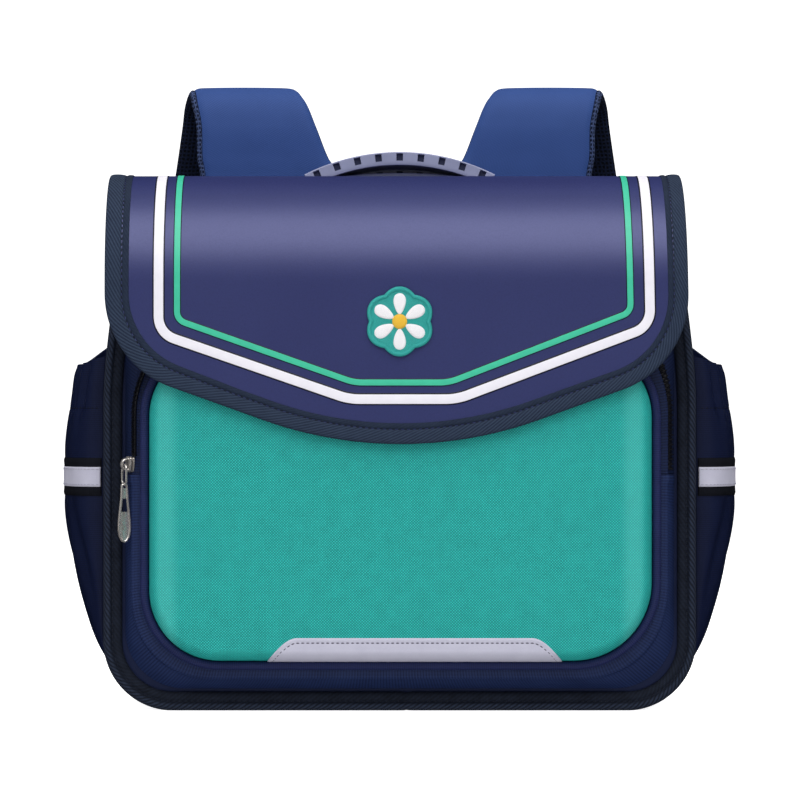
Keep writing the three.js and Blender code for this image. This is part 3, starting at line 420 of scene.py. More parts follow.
def twill_tape(name, ridge, valley, period, slant, depth, ribbed=(-90, -80, 90, 100)):
    """Woven polyester tape, matt, with raised diagonal ridges. ribbed gives the distances across the tape
    between which the ridges rise and fade, because they are pressed flat under the seam. They are drawn
    about twice as coarse as on the real tape, to show at this size."""
    material, tree = blank(name, Roughness=0.85, IOR=1.5, Specular_IOR_Level=0.15)
    lay = add(tree, "UVMap", uv_map=UV_NAME).outputs[0]
    across = add(tree, "SeparateXYZ", {0: lay}).outputs[1]
    begin = add(tree, "MapRange", {0: across, 1: ribbed[0], 2: ribbed[1], 3: 0.25, 4: 1.0})
    end = add(tree, "MapRange", {0: across, 1: ribbed[2], 2: ribbed[3], 3: 1.0, 4: 0.25})
    zone = add(tree, "Math", {0: begin.outputs[0], 1: end.outputs[0]}, operation="MULTIPLY").outputs[0]
    turned = add(tree, "Mapping", {"Vector": lay, "Rotation": (0, 0, np.radians(slant))}).outputs[0]
    uneven = {"Distortion": 0.6, "Detail Scale": 0.6}
    rib = add(tree, "TexWave", {"Vector": turned, "Scale": waves(period), **uneven})
    raised = add(tree, "Math", {0: rib.outputs[1], 1: zone}, operation="MULTIPLY").outputs[0]
    thread = add(tree, "TexWave", {"Vector": lay, "Scale": waves(0.9), "Distortion": 0.4})
    both = add(tree, "Math", {0: thread.outputs[1], 1: 0.25, 2: raised}, operation="MULTIPLY_ADD")
    fuzz = add(tree, "TexNoise", {"Vector": lay, "Scale": 1 / 7, "Detail": 4.0, "Roughness": 0.65})
    mixed = add(tree, "Math", {0: fuzz.outputs[0], 1: 0.6, 2: both.outputs[0]}, operation="MULTIPLY_ADD")
    share = add(tree, "MapRange", {0: mixed.outputs[0], 1: 0.25, 2: 1.4, 3: 0.0, 4: 1.0})
    colour = add(tree, "Mix", {0: share.outputs[0], 6: srgb(valley), 7: srgb(ridge)}, data_type="RGBA")
    bump = add(tree, "Bump", {"Height": both.outputs[0], "Strength": 0.8, "Distance": depth * MM})
    return linked(material, Base_Color=colour.outputs[2], Normal=bump.outputs[0])


def oxford_cloth():
    """Polyester oxford cloth bonded to moulded foam: a basket weave of thick threads, which lies at 45
    degrees to the eye as small diamonds. Drawn at 1.2 mm, a little above the real thread spacing, to show
    at this size. A paler band at each side is a painted highlight: the sheen of the side lights on the
    panel's rounded shoulder, painted into its colour."""
    material, tree = blank("oxford_cloth", Roughness=0.6, IOR=1.5, Specular_IOR_Level=0.35)
    lay = add(tree, "UVMap", uv_map=UV_NAME).outputs[0]
    sway = add(tree, "TexNoise", {"Vector": lay, "Scale": 1 / 26, "Detail": 2.0})
    drift = add(tree, "VectorMath", {0: sway.outputs[1], 1: (0.9, 0.9, 0)}, operation="MULTIPLY")
    moved = add(tree, "VectorMath", {0: lay, 1: drift.outputs[0]}, operation="ADD").outputs[0]
    threads = []
    for slant in (45, -45):
        turned = add(tree, "Mapping", {"Vector": moved, "Rotation": (0, 0, np.radians(slant))}).outputs[0]
        threads.append(add(tree, "TexWave", {"Vector": turned, "Scale": waves(OXFORD_THREAD)}).outputs[1])
    weave = add(tree, "Math", {0: threads[0], 1: threads[1]}, operation="MULTIPLY").outputs[0]
    wear = add(tree, "TexNoise", {"Vector": lay, "Scale": 1 / 9, "Detail": 3.0, "Roughness": 0.6})
    slub = add(tree, "Math", {0: wear.outputs[0], 1: 0.2, 2: weave}, operation="MULTIPLY_ADD")
    share = add(tree, "MapRange", {0: slub.outputs[0], 1: 0.02, 2: 0.85, 3: 0.0, 4: 1.0})
    woven = add(tree, "Mix", {0: share.outputs[0], 6: srgb("#00716c"), 7: srgb("#27c8c0")}, data_type="RGBA")
    across = add(tree, "SeparateXYZ", {0: lay}).outputs[0]
    aside = add(tree, "Math", {0: across}, operation="ABSOLUTE").outputs[0]
    begin, full, fade, end = OXFORD_SHEEN_BAND
    smooth = {"interpolation_type": "SMOOTHSTEP"}
    rising = add(tree, "MapRange", {0: aside, 1: begin, 2: full, 3: 0.0, 4: 1.0}, **smooth)
    falling = add(tree, "MapRange", {0: aside, 1: fade, 2: end, 3: 1.0, 4: 0.0}, **smooth)
    band = add(tree, "Math", {0: rising.outputs[0], 1: falling.outputs[0]}, operation="MULTIPLY").outputs[0]
    painted_sheen = add(tree, "Math", {0: band, 1: 0.25}, operation="MULTIPLY").outputs[0]
    # painted highlight: a paler teal mixed in over the band at each side
    colour = add(tree, "Mix", {0: painted_sheen, 6: woven.outputs[2], 7: srgb("#5ccac2")}, data_type="RGBA")
    bump = add(tree, "Bump", {"Height": weave, "Strength": 0.5, "Distance": 0.00022})
    return linked(material, Base_Color=colour.outputs[2], Normal=bump.outputs[0])


def ribbed_nylon(name, ridge, valley, period, slant=0, gloss=0.55, depth=0.12):
    """Coated nylon with a fine straight rib: dark, with a soft shine along its folds. The rib is drawn a
    little coarser than the real one, to show at this size."""
    material, tree = blank(name, Roughness=gloss, IOR=1.5, Specular_IOR_Level=0.2)
    lay = add(tree, "UVMap", uv_map=UV_NAME).outputs[0]
    turned = add(tree, "Mapping", {"Vector": lay, "Rotation": (0, 0, np.radians(slant))}).outputs[0]
    rib = add(tree, "TexWave", {"Vector": turned, "Scale": waves(period), "Distortion": 0.3})
    cross = add(tree, "TexWave", {"Vector": turned, "Scale": waves(1.1)}, bands_direction="Y")
    both = add(tree, "Math", {0: cross.outputs[1], 1: 0.3, 2: rib.outputs[1]}, operation="MULTIPLY_ADD")
    weave = both.outputs[0]
    cloud = add(tree, "TexNoise", {"Vector": lay, "Scale": 1 / 18, "Detail": 4.0})
    mixed = add(tree, "Math", {0: cloud.outputs[0], 1: 0.8, 2: weave}, operation="MULTIPLY_ADD")
    share = add(tree, "MapRange", {0: mixed.outputs[0], 1: 0.3, 2: 1.5, 3: 0.0, 4: 1.0})
    colour = add(tree, "Mix", {0: share.outputs[0], 6: srgb(valley), 7: srgb(ridge)}, data_type="RGBA")
    bump = add(tree, "Bump", {"Height": weave, "Strength": 0.5, "Distance": depth * MM})
    return linked(material, Base_Color=colour.outputs[2], Normal=bump.outputs[0])


def spacer_mesh(name, thread, hole):
    """Knitted spacer mesh: a net of round holes about 2 mm wide in dark yarn, soft and matt."""
    material, tree = blank(name, Roughness=0.9, IOR=1.5, Specular_IOR_Level=0.1)
    lay = add(tree, "UVMap", uv_map=UV_NAME).outputs[0]
    cells = {"Vector": lay, "Scale": 1 / MESH_HOLE, "Randomness": 0.25}
    net = add(tree, "TexVoronoi", cells, feature="DISTANCE_TO_EDGE")
    yarn = add(tree, "MapRange", {0: net.outputs["Distance"], 1: 0.1, 2: 0.34, 3: 1.0, 4: 0.0})
    fleck = add(tree, "TexNoise", {"Vector": lay, "Scale": 1 / 1.7, "Detail": 2.0})
    lit = add(tree, "Math", {0: yarn.outputs[0], 1: fleck.outputs[0]}, operation="MULTIPLY")
    colour = add(tree, "Mix", {0: lit.outputs[0], 6: srgb(hole), 7: srgb(thread)}, data_type="RGBA")
    bump = add(tree, "Bump", {"Height": yarn.outputs[0], "Strength": 0.8, "Distance": 0.0004})
    return linked(material, Base_Color=colour.outputs[2], Normal=bump.outputs[0])


def reflective_cloth():
    """Grey retroreflective tape: a film of tiny glass beads on cloth, even, pale and slightly pearly."""
    material, tree = blank("reflective_cloth", Roughness=0.42, IOR=1.5, Specular_IOR_Level=0.4)
    place = add(tree, "TexCoord").outputs["Object"]
    beading = add(tree, "TexVoronoi", {"Vector": place, "Scale": per_metre(0.5)}).outputs["Distance"]
    cloud = add(tree, "TexNoise", {"Vector": place, "Scale": per_metre(9), "Detail": 3.0})
    mixed = add(tree, "Math", {0: beading, 1: 0.5, 2: cloud.outputs[0]}, operation="MULTIPLY_ADD")
    colour = add(tree, "Mix", {0: mixed.outputs[0], 6: srgb("#adacbf"), 7: srgb("#bcbbcc")}, data_type="RGBA")
    bump = add(tree, "Bump", {"Height": beading, "Strength": 0.15, "Distance": 0.0001})
    return linked(material, Base_Color=colour.outputs[2], Normal=bump.outputs[0])


def welded_film(name, light, dark, gloss):
    """Thin coloured film welded on the leather: smooth, with the leather's grain faint in its surface."""
    material, tree = blank(name, Roughness=gloss, IOR=1.5)
    place = add(tree, "TexCoord").outputs["Object"]
    grain = add(tree, "TexVoronoi", {"Vector": place, "Scale": per_metre(LEATHER_GRAIN)}, feature="SMOOTH_F1")
    cloud = add(tree, "TexNoise", {"Vector": place, "Scale": per_metre(5), "Detail": 4.0})
    colour = add(tree, "Mix", {0: cloud.outputs[0], 6: srgb(dark), 7: srgb(light)}, data_type="RGBA")
    bump = add(tree, "Bump", {"Height": grain.outputs["Distance"], "Strength": 0.15, "Distance": 0.0001})
    return linked(material, Base_Color=colour.outputs[2], Normal=bump.outputs[0])


def spun_thread(name, light, dark, spacing=0.55, slant=0):
    """Spun polyester thread, in satin stitch or single stitches: fine parallel lines with a silky shine."""
    material, tree = blank(name, Roughness=0.55, IOR=1.5, Specular_IOR_Level=0.3)
    lay = add(tree, "UVMap", uv_map=UV_NAME).outputs[0]
    turned = add(tree, "Mapping", {"Vector": lay, "Rotation": (0, 0, np.radians(slant))}).outputs[0]
    strand = add(tree, "TexWave", {"Vector": turned, "Scale": waves(spacing), "Distortion": 0.8})
    colour = add(tree, "Mix", {0: strand.outputs[1], 6: srgb(dark), 7: srgb(light)}, data_type="RGBA")
    bump = add(tree, "Bump", {"Height": strand.outputs[1], "Strength": 0.6, "Distance": 0.00015})
    return linked(material, Base_Color=colour.outputs[2], Normal=bump.outputs[0])


def moulded_plastic(name, light, dark, gloss):
    """Injection-moulded plastic with a fine spark-eroded texture: even colour with faint clouds."""
    material, tree = blank(name, Roughness=gloss, IOR=1.46)
    place = add(tree, "TexCoord").outputs["Object"]
    grit = add(tree, "TexNoise", {"Vector": place, "Scale": per_metre(0.6), "Detail": 3.0})
    cloud = add(tree, "TexNoise", {"Vector": place, "Scale": per_metre(14), "Detail": 2.0})
    colour = add(tree, "Mix", {0: cloud.outputs[0], 6: srgb(dark), 7: srgb(light)}, data_type="RGBA")
    rough = add(tree, "MapRange", {0: grit.outputs[0], 3: gloss - 0.08, 4: gloss + 0.1})
    bump = add(tree, "Bump", {"Height": grit.outputs[0], "Strength": 0.12, "Distance": 0.0001})
    sockets = {"Roughness": rough.outputs[0], "Normal": bump.outputs[0]}
    return linked(material, Base_Color=colour.outputs[2], **sockets)


def nickel_plate():
    """Nickel-plated die-cast zinc: bright metal with slight casting waves and fine handling marks."""
    material, tree = blank("nickel_plate", Metallic=0.8)
    place = add(tree, "TexCoord").outputs["Object"]
    marks = add(tree, "TexNoise", {"Vector": place, "Scale": per_metre(5), "Detail": 2.0})
    wave = add(tree, "TexNoise", {"Vector": place, "Scale": per_metre(4), "Detail": 1.0})
    colour = add(tree, "Mix", {0: marks.outputs[0], 6: srgb("#dcd5cf"), 7: srgb("#fbf7f3")}, data_type="RGBA")
    rough = add(tree, "MapRange", {0: marks.outputs[0], 3: 0.14, 4: 0.28})
    bump = add(tree, "Bump", {"Height": wave.outputs[0], "Strength": 0.3, "Distance": 0.0005})
    sockets = {"Roughness": rough.outputs[0], "Normal": bump.outputs[0]}
    return linked(material, Base_Color=colour.outputs[2], **sockets)


LEATHER = coated_leather()
FLAP_TAPE = twill_tape("slate_twill_tape", "#303c50", "#1a2234", 1.7, -64, 0.2, (3.4, 4.6, 90, 100))
BODY_TAPE = twill_tape("black_twill_tape", "#293143", "#0c0f17", 2.2, 52, 0.3, (-90, -80, 13, 15))
SIDE_TAPE = twill_tape("black_flat_tape", "#171a24", "#0b0c13", 1.4, 0, 0.12)
PIPING_TAPE = ribbed_nylon("navy_piping_tape", "#242c59", "#131a3c", 1.3, 0, 0.5)
OXFORD = oxford_cloth()
GUSSET_NYLON = ribbed_nylon("navy_ribbed_nylon", "#23325c", "#111a39", 1.7)
ZIP_NYLON = ribbed_nylon("navy_zip_tape_nylon", "#1b274a", "#0d142d", 1.7)
POUCH_NYLON = ribbed_nylon("navy_plain_nylon", "#111a3a", "#090f27", 1.2, 0, 0.5, 0.04)
STRAP_NYLON = ribbed_nylon("blue_strap_nylon", "#324d89", "#284178", 1.0, 30, 0.65, 0.05)
# Two copies of one spacer mesh: the strap core's is darker partly for its own yarn and partly as painted
# shade, and the edge roll's is a paler, lit copy as painted light
DARK_AND_SHADED_MESH = spacer_mesh("dark_spacer_mesh_with_painted_shade", "#1c2540", "#06080f")
PALE_AND_LIT_EDGE_MESH = spacer_mesh("pale_edge_spacer_mesh_with_painted_light", "#566897", "#0d1222")
BACK_MESH = spacer_mesh("navy_back_mesh", "#2c3a66", "#070a16")
WEBBING_CLOTH = twill_tape("black_webbing", "#1d222c", "#0a0c10", 2.4, 0, 0.3)
REFLECTIVE = reflective_cloth()
WHITE_FILM = welded_film("white_film", "#eae8ef", "#dfdce6", 0.5)
GREEN_FILM = welded_film("green_film", "#3fc29d", "#34b390", 0.42)
# Painted shade: this dark film beside each stripe stands in for the shade of the groove it is welded into
GROOVE_SHADE_FILM = welded_film("dark_film_painted_groove_shade", "#14142a", "#0c0c1c", 0.5)
TEAL_THREAD = spun_thread("teal_thread", "#38b3ac", "#1c827d")
WHITE_THREAD = spun_thread("white_thread", "#fdfbfc", "#d5d3da")
YELLOW_THREAD = spun_thread("yellow_thread", "#f7cc4a", "#cf9a1e")
DARK_THREAD = spun_thread("dark_sewing_thread", "#1a2033", "#080a12")
GREY_THREAD = spun_thread("grey_sewing_thread", "#5f5d6c", "#3d3b47")
PALE_THREAD = spun_thread("pale_sewing_thread", "#b0afc0", "#8f8da0")
HANDLE_PLASTIC = moulded_plastic("lilac_handle_plastic", "#9a9ebd", "#868aa6", 0.4)
HANDLE_CORE = moulded_plastic("navy_handle_core", "#2b3152", "#1e2340", 0.6)
BLACK_PLASTIC = moulded_plastic("black_plastic", "#17191f", "#0e0f14", 0.45)
COIL_NYLON = moulded_plastic("black_zip_coil", "#15161d", "#0a0b10", 0.35)
NICKEL = nickel_plate()


# Flap

ROLL_HEIGHT = FLAP_TOP - FLAP_ROLL  # the roll starts at this height
ROLL_END = ROLL_HEIGHT + FLAP_ROLL * np.pi / 2
TOP_RUN = (FLAP_BACK - FLAP_BEND) - (FLAP_FRONT + FLAP_ROLL)
TOP_END = ROLL_END + TOP_RUN
BEND_END = TOP_END + FLAP_BEND * np.pi / 2
FLAP_END = BEND_END + FLAP_TAIL
STRIPE_END = TOP_END - STRIPE_STOP


def flap_place(x, height, out):
    """A point of the flap, drawn flat: x across, height along its length, and out from its face. Its length
    runs straight up the front, round a quarter circle, along the top, round a small quarter circle and down
    the back."""
    roll = np.clip((height - ROLL_HEIGHT) / FLAP_ROLL, 0, np.pi / 2)
    bend = np.clip((height - TOP_END) / FLAP_BEND, 0, np.pi / 2)
    top = np.clip(height - ROLL_END, 0, TOP_RUN)
    tail = np.maximum(height - BEND_END, 0)
    y = FLAP_FRONT + FLAP_ROLL * (1 - np.cos(roll)) + top + FLAP_BEND * np.sin(bend)
    z = np.minimum(height, ROLL_HEIGHT) + FLAP_ROLL * np.sin(roll) - FLAP_BEND * (1 - np.cos(bend)) - tail
    facing = roll + bend
    return np.stack([x, y - out * np.cos(facing), z + out * np.sin(facing)], axis=-1)


def flap_edge(top, step):
    """The flap's edge, drawn flat: down the left side, along both lower edges, up the leaning right side."""
    tip_x, tip, tip_radius = FLAP_TIP
    left = tip + FLAP_SLOPE * (FLAP_LEFT + tip_x)
    right = tip + FLAP_SLOPE * (FLAP_RIGHT - tip_x)
    corners = [
        (-FLAP_LEFT, top, 0),
        (-FLAP_LEFT, left, FLAP_CORNER),
        (tip_x, tip, tip_radius),
        (FLAP_RIGHT, right, FLAP_CORNER),
        (FLAP_RIGHT - FLAP_LEAN * (top - right), top, 0),
    ]
    return rounded_line(corners, step)


FLAP_ROWS = 150
FLAP_LEAST_STEP = 1e-6  # columns of the leather lie at least this far apart


def flap_sheet():
    """The leather: columns across, each from the curved lower edge to the sewn end on the back, drawn in on
    the right by the lean of that edge."""
    edge = flap_edge(ROLL_HEIGHT, 3)[0]
    keep = np.concatenate([[True], np.diff(edge[:, 0]) > FLAP_LEAST_STEP])
    x, lowest = edge[keep].T
    share = np.linspace(0, 1, FLAP_ROWS)[None, :]
    height = lowest[:, None] + (FLAP_END - lowest[:, None]) * share
    corner = FLAP_TIP[1] + FLAP_SLOPE * FLAP_RIGHT
    drawn_in = FLAP_LEAN * np.maximum(height - corner, 0) / FLAP_RIGHT
    across = x[:, None] * (1 - np.where(x[:, None] > 0, drawn_in, 0))
    uv = np.stack([across, height], axis=-1)
    faces = [flap_place(across, height, np.full_like(height, out)) for out in (0, -FLAP_THICKNESS)]
    made = piece("flap_leather", sheet_skins(*faces, uv), LEATHER, ["flap"])


# Section of the tape on the flap's edge: inset from the edge, and out from the leather's face
FLAP_TAPE_ROWS = [
    (12.0, 0.12),
    (11.8, 0.45),
    (10.6, 0.7),
    (9.0, 0.6),
    (8.0, -0.1),
    (7.0, 0.6),
    (4.4, 1.05),
    (1.6, 1.1),
    (-0.4, 0.8),
    (-1.3, 0.0),
    (-1.6, -1.2),
    (-1.1, -2.7),
    (0.4, -3.4),
    (3.0, -3.5),
    (6.0, -3.1),
    (9.0, -3.2),
    (11.6, -3.0),
    (12.0, -2.7),
]
FLAP_SEAM = (8.0, 0.0)  # where its stitches lie
FLAP_STITCH = 3.6
FLAP_TAPE_THICKNESS = 0.5
# The tape is folded wider on the left: x, and share of its section's width
FLAP_TAPE_WIDTH = [(-170, 1.07), (-100, 0.93), (100, 0.92), (170, 0.9)]


def flap_tape():
    """Twill tape folded over the flap's edge, with stitches sunk between its rolled and its flat half."""
    line, inward = flap_edge(STRIPE_END, 2)
    scale = np.interp(line[:, 0], *np.transpose(FLAP_TAPE_WIDTH))
    section = spline(FLAP_TAPE_ROWS, 3)
    uv = lengths(travel(line), travel(section))
    outer = carried(line, inward, section, flap_place, scale)
    inner = carried(line, inward, inside(section, FLAP_TAPE_THICKNESS), flap_place, scale)
    piece("flap_tape", sheet_skins(outer, inner, uv), FLAP_TAPE, ["flap_binding"])
    seam = carried(line, inward, np.array([FLAP_SEAM]), flap_place, scale)[:, 0]
    above = carried(line, inward, np.array([[FLAP_SEAM[0], FLAP_SEAM[1] + 1]]), flap_place, scale)[:, 0]
    piece("flap_tape_stitches", [stitches(seam, above - seam, FLAP_STITCH)], DARK_THREAD)


# Stripes: name, width, width of the painted groove shade beside it, film and slot, then the turn at the left
# side, the ends of the level run and the turn at the right side, each as x, height and radius
STRIPES = [
    (
        ("stripe_white", 5.9, 0.75, WHITE_FILM, "white_film"),
        [(-144.7, 228.9, 14), (-30.4, 189.4, 40), (34.4, 189.4, 40), (150.4, 233.1, 14)],
    ),
    (
        ("stripe_green", 3.8, 0.45, GREEN_FILM, "green_film"),
        [(-133.6, 236.9, 7), (-27.4, 199.4, 30), (29.6, 199.4, 30), (138.6, 241.6, 7)],
    ),
]
FILM_RISE = 0.34
GROOVE_SHADE_RISE = 0.2
FILM_FOOT = -0.05  # both films reach this far into the leather


def film_section(width, rise):
    """Section of a strip of film: flat, with rounded shoulders."""
    half = width / 2
    left = [(-half, 0.02), (-half + 0.12, rise * 0.7), (-half + 0.5, rise)]
    right = [(-x, out) for x, out in reversed(left)]
    return np.array([*left, *right])


def flap_stripes():
    """Two welded stripes, each on a slightly wider dark film that shows as a thin line on both sides: painted
    shade of the groove that each stripe is welded into.
    """
    for (name, width, line_width, film, slot), turns in STRIPES:
        drawn_in = FLAP_LEAN * (STRIPE_END - turns[-1][1])
        corners = [(turns[0][0], STRIPE_END, 0), *turns, (turns[-1][0] - drawn_in, STRIPE_END, 0)]
        line, inward = rounded_line(corners, 1.5)
        # the wider dark film under each stripe is painted groove shade
        sizes = [
            (name + "_film", width, FILM_RISE, film, [name]),
            (name + "_edge", width + 2 * line_width, GROOVE_SHADE_RISE, GROOVE_SHADE_FILM, []),
        ]
        for label, across, rise, material, replaced in sizes:
            section = film_section(across, rise)
            low = np.stack([section[:, 0], np.full(len(section), FILM_FOOT)], axis=1)
            uv = lengths(travel(line), travel(section))
            faces = [carried(line, inward, rows, flap_place) for rows in (section, low)]
            piece(label, sheet_skins(*faces, uv), material, replaced)


# Badge: a six-petalled flower
BADGE_LOW, BADGE_HIGH = reach("badge")
BADGE_CENTRE = (BADGE_LOW + BADGE_HIGH) / 2
BADGE_RADIUS = 21
BADGE_SCALLOP = 2.6
PETALS = 6
PETAL = {"middle": 10.6, "half_length": 6.6, "half_width": 4.7, "rise": 1.1}
PETAL_TAPER = (0.78, 0.28)  # share of its width at its middle, and what that gains towards its outer end
BORDER = {"inset": 1.3, "radius": 1.35, "out": 0.75, "whip": 0.12, "threads": 150}
HEART = {"radius": 4.6, "rise": 1.7}
PATCH_FACE = 1.1
DOME_FOOT = PATCH_FACE - 0.2  # the petals and the heart are sunk a little into the ground


def badge_place(x, z, out):
    """A point of the badge: x and z from its centre, and out from the leather."""
    return np.stack([BADGE_CENTRE[0] + x, FLAP_FRONT - 0.05 - out, BADGE_CENTRE[2] + z], axis=-1)


def petal_edge(angle):
    """Radius of the flower's outline: round, with a dip between each two petals."""
    return BADGE_RADIUS - BADGE_SCALLOP * (1 - np.abs(np.sin(PETALS * angle / 2)))


def dome_skin(x, z, out, drawn):
    """A low dome of rings, closed below by a fan from its rim to the middle. drawn gives its flat threads."""
    top = badge_place(x, z, out)
    rim = np.broadcast_to(top[:1].mean(axis=1, keepdims=True), top[:1].shape)
    uv = np.concatenate([drawn[:1], drawn])
    uv = np.concatenate([uv, uv[:, :1]], axis=1)
    return skin(np.concatenate([rim, top]), uv, wrap_columns=True)


def badge():
    """Embroidered patch: a teal ground, a whipped border that is a tube round the outline, domed satin-stitch
    petals and a domed heart."""
    angle = circle(240)
    edge = petal_edge(angle) - BORDER["inset"]
    share = np.linspace(1, 0, 9)
    rings = edge[None, :] * share[:, None]
    ground = badge_place(rings * np.cos(angle), rings * np.sin(angle), np.full_like(rings, PATCH_FACE))
    level = np.zeros_like(edge)
    foot = badge_place(edge * np.cos(angle), edge * np.sin(angle), level)[None]
    back = badge_place(level, level, level)[None]
    around = np.append(angle, 2 * np.pi) * BADGE_RADIUS
    rows = np.concatenate([back, foot, ground])
    uv = lengths(np.linspace(0, 2 * BADGE_RADIUS, len(rows)), around)
    piece("badge_ground", [skin(rows, uv, wrap_columns=True)], TEAL_THREAD, ["badge"])

    turn = circle(14)
    radius = edge[:, None] + BORDER["radius"] * np.cos(turn)
    whip = BORDER["whip"] * np.cos(angle * BORDER["threads"])[:, None]
    out = np.maximum(BORDER["out"] + (BORDER["radius"] + whip) * np.sin(turn), 0)
    tube = badge_place(radius * np.cos(angle)[:, None], radius * np.sin(angle)[:, None], out)
    uv = lengths(around, np.linspace(0, 2 * np.pi * BORDER["radius"], len(turn) + 1))
    piece("badge_border", [skin(tube, uv, wrap_rows=True, wrap_columns=True)], TEAL_THREAD)

    ring = circle(40)
    dome = np.linspace(1, 0, 10)[:, None]
    rise = np.sqrt(1 - dome**2)
    skins = []
    for k in range(PETALS):
        middle = 2 * np.pi * (k + 0.5) / PETALS
        along = PETAL["middle"] + PETAL["half_length"] * dome * np.cos(ring)
        side = PETAL["half_width"] * dome * np.sin(ring) * (PETAL_TAPER[0] + PETAL_TAPER[1] * np.cos(ring))
        x = along * np.cos(middle) - side * np.sin(middle)
        z = along * np.sin(middle) + side * np.cos(middle)
        out = DOME_FOOT + PETAL["rise"] * rise**0.6 * np.ones_like(ring)
        skins.append(dome_skin(x, z, out, np.stack([along, side], axis=-1)))
    piece("badge_petals", skins, WHITE_THREAD)

    spread = HEART["radius"] * dome * np.ones_like(ring)
    x, z = spread * np.cos(ring), spread * np.sin(ring)
    out = DOME_FOOT + HEART["rise"] * rise**0.7 * np.ones_like(ring)
    piece("badge_heart", [dome_skin(x, z, out, np.stack([x, z], axis=-1))], YELLOW_THREAD)


# Front pocket


def pocket_ring(outline, inset, step):
    """The pocket's rounded-rectangle outline, moved in by the inset."""
    half = outline["half"] - inset
    low, high = outline["bottom"] + inset, outline["top"] - inset
    left, right = PANEL_SHIFT - half, PANEL_SHIFT + half
    low_left, low_right, upper = (outline[name] - inset for name in ("low_left", "low_right", "corner"))
    corners = [(left, low, low_left), (right, low, low_right), (right, high, upper), (left, high, upper)]
    return rounded_line(corners, step, closed=True)


PANEL_STRAIGHT = 2.7
PANEL_WALL = 3
PANEL_CROWN = 1.6
PANEL_CROWN_RUN = 30  # the crown rises over this distance in from the roll
ROLL_ROWS = 14
FACE_ROWS = 28
CROWDING = 1.4  # the rings of a face crowd towards its edge, as this power of their number
ROLL_RUN = (PANEL_ROLL + PANEL_ROLL_IN) / 2  # about the length of the rolled edge for each radian


def panel_face(ring, inward, wall):
    """One face of the moulded panel: up its straight edge, round a quarter ellipse, then a low crown that
    rises as a sine to its flat middle, on rings that shrink to the middle. Returns the points and the
    unrolled lengths."""
    start = PANEL_HIGH[1] - PANEL_STRAIGHT
    roll = PANEL_ROLL - wall
    angle = np.linspace(0, np.pi / 2, ROLL_ROWS)
    inset = np.concatenate([[wall], PANEL_ROLL_IN - (PANEL_ROLL_IN - wall) * np.cos(angle)])
    unrolled = np.concatenate([[-PANEL_STRAIGHT], ROLL_RUN * angle]) - ROLL_RUN * np.pi / 2 + PANEL_ROLL_IN
    flat = ring[None] + inward[None] * inset[:, None, None]
    drawn = ring[None] + inward[None] * unrolled[:, None, None]
    middle = flat[-1].mean(axis=0)
    shrink = 1 - np.linspace(0, 1, FACE_ROWS)[1:] ** CROWDING
    face = middle + (flat[-1] - middle) * shrink[:, None, None]
    depth = (1 - shrink) * (PANEL_HIGH[2] - PANEL_LOW[2] - 2 * PANEL_ROLL_IN) / 2
    crown = PANEL_CROWN * np.sin(np.minimum(depth / PANEL_CROWN_RUN, 1) * np.pi / 2)
    y = np.concatenate([[PANEL_HIGH[1]], start - roll * np.sin(angle), start - roll - crown])
    flat, drawn = np.concatenate([flat, face]), np.concatenate([drawn, face])
    points = front_place(flat[..., 0], flat[..., 1], np.broadcast_to(y[:, None], flat.shape[:2]))
    return points, drawn


def pocket_panel():
    """Foam panel moulded to a shallow tray and faced with oxford cloth: an outer and an inner face that
    meet at its back edge."""
    ring, inward = pocket_ring(POCKET_FRONT, PANEL_INSET, 3)
    outer, drawn = panel_face(ring, inward, 0)
    inner = panel_face(ring, inward, PANEL_WALL)[0]
    points = np.concatenate([outer[::-1], inner])
    uv = np.concatenate([drawn[::-1], drawn])
    uv = np.concatenate([uv, uv[:, :1]], axis=1)
    skins = [skin(points, uv, wrap_columns=True)]
    made = piece("pocket_panel_cloth", skins, OXFORD, ["pocket_panel"])


TAPE_JOINT = 4.5  # x of the place where the ends of the piping and of the body's tapes meet, at the bottom
JOINT_WIDTH = 0.7
JOINT_NICK = {"piping": 0.16, "tape": 0.1}  # how far the section is drawn in there, as a share
PIPING_STEP = 1.2
# Section of the piping: inset from the pocket's front edge, and its place along Y
PIPING_ROWS = [
    (0.2, -85.2),
    (0.0, -87.0),
    (0.6, -88.8),
    (2.0, -89.8),
    (3.7, -89.6),
    (4.9, -88.6),
    (5.4, -87.0),
    (5.3, -85.2),
    (2.8, -84.4),
]


def nicked(points, share):
    """A carried section, drawn towards its middle by a share at each place along it."""
    middle = points.mean(axis=1, keepdims=True)
    return points + (middle - points) * share[:, None, None]


def piping():
    """Navy tape folded over a cord round the pocket's front edge, with a nick where its ends meet."""
    line, inward = pocket_ring(POCKET_FRONT, 0, PIPING_STEP)
    section = spline([*PIPING_ROWS, PIPING_ROWS[0]], 4)
    points = carried(line, inward, section[:-1], front_place)
    lower = line[:, 1] < POCKET_FRONT["bottom"] + 1
    points = nicked(points, lower * hump(line[:, 0], TAPE_JOINT, JOINT_WIDTH) * JOINT_NICK["piping"])
    uv = lengths(and_last(travel(line), PIPING_STEP), travel(section))
    skins = [skin(points, uv, wrap_rows=True, wrap_columns=True)]
    piece("pocket_piping", skins, PIPING_TAPE, ["panel_piping"])


BAND_WALL = 1.5
BAND_BOW = 1.5
SEAM_RIDGE = {"at": 0.78, "spread": 0.08, "rise": 2.0}  # the rolled seam allowance beside the piping
SEAM_GROOVE = {"at": 0.94, "spread": 0.05, "drop": 1.6}
BAND_COLUMNS = 48
BAND_WIDTH = 22  # about, for the pattern of its cloth
BAND_GAP = 0.15  # half the gap between its two halves
FOLD_RANGE = (4, 5)  # distances from the end where its fold stops


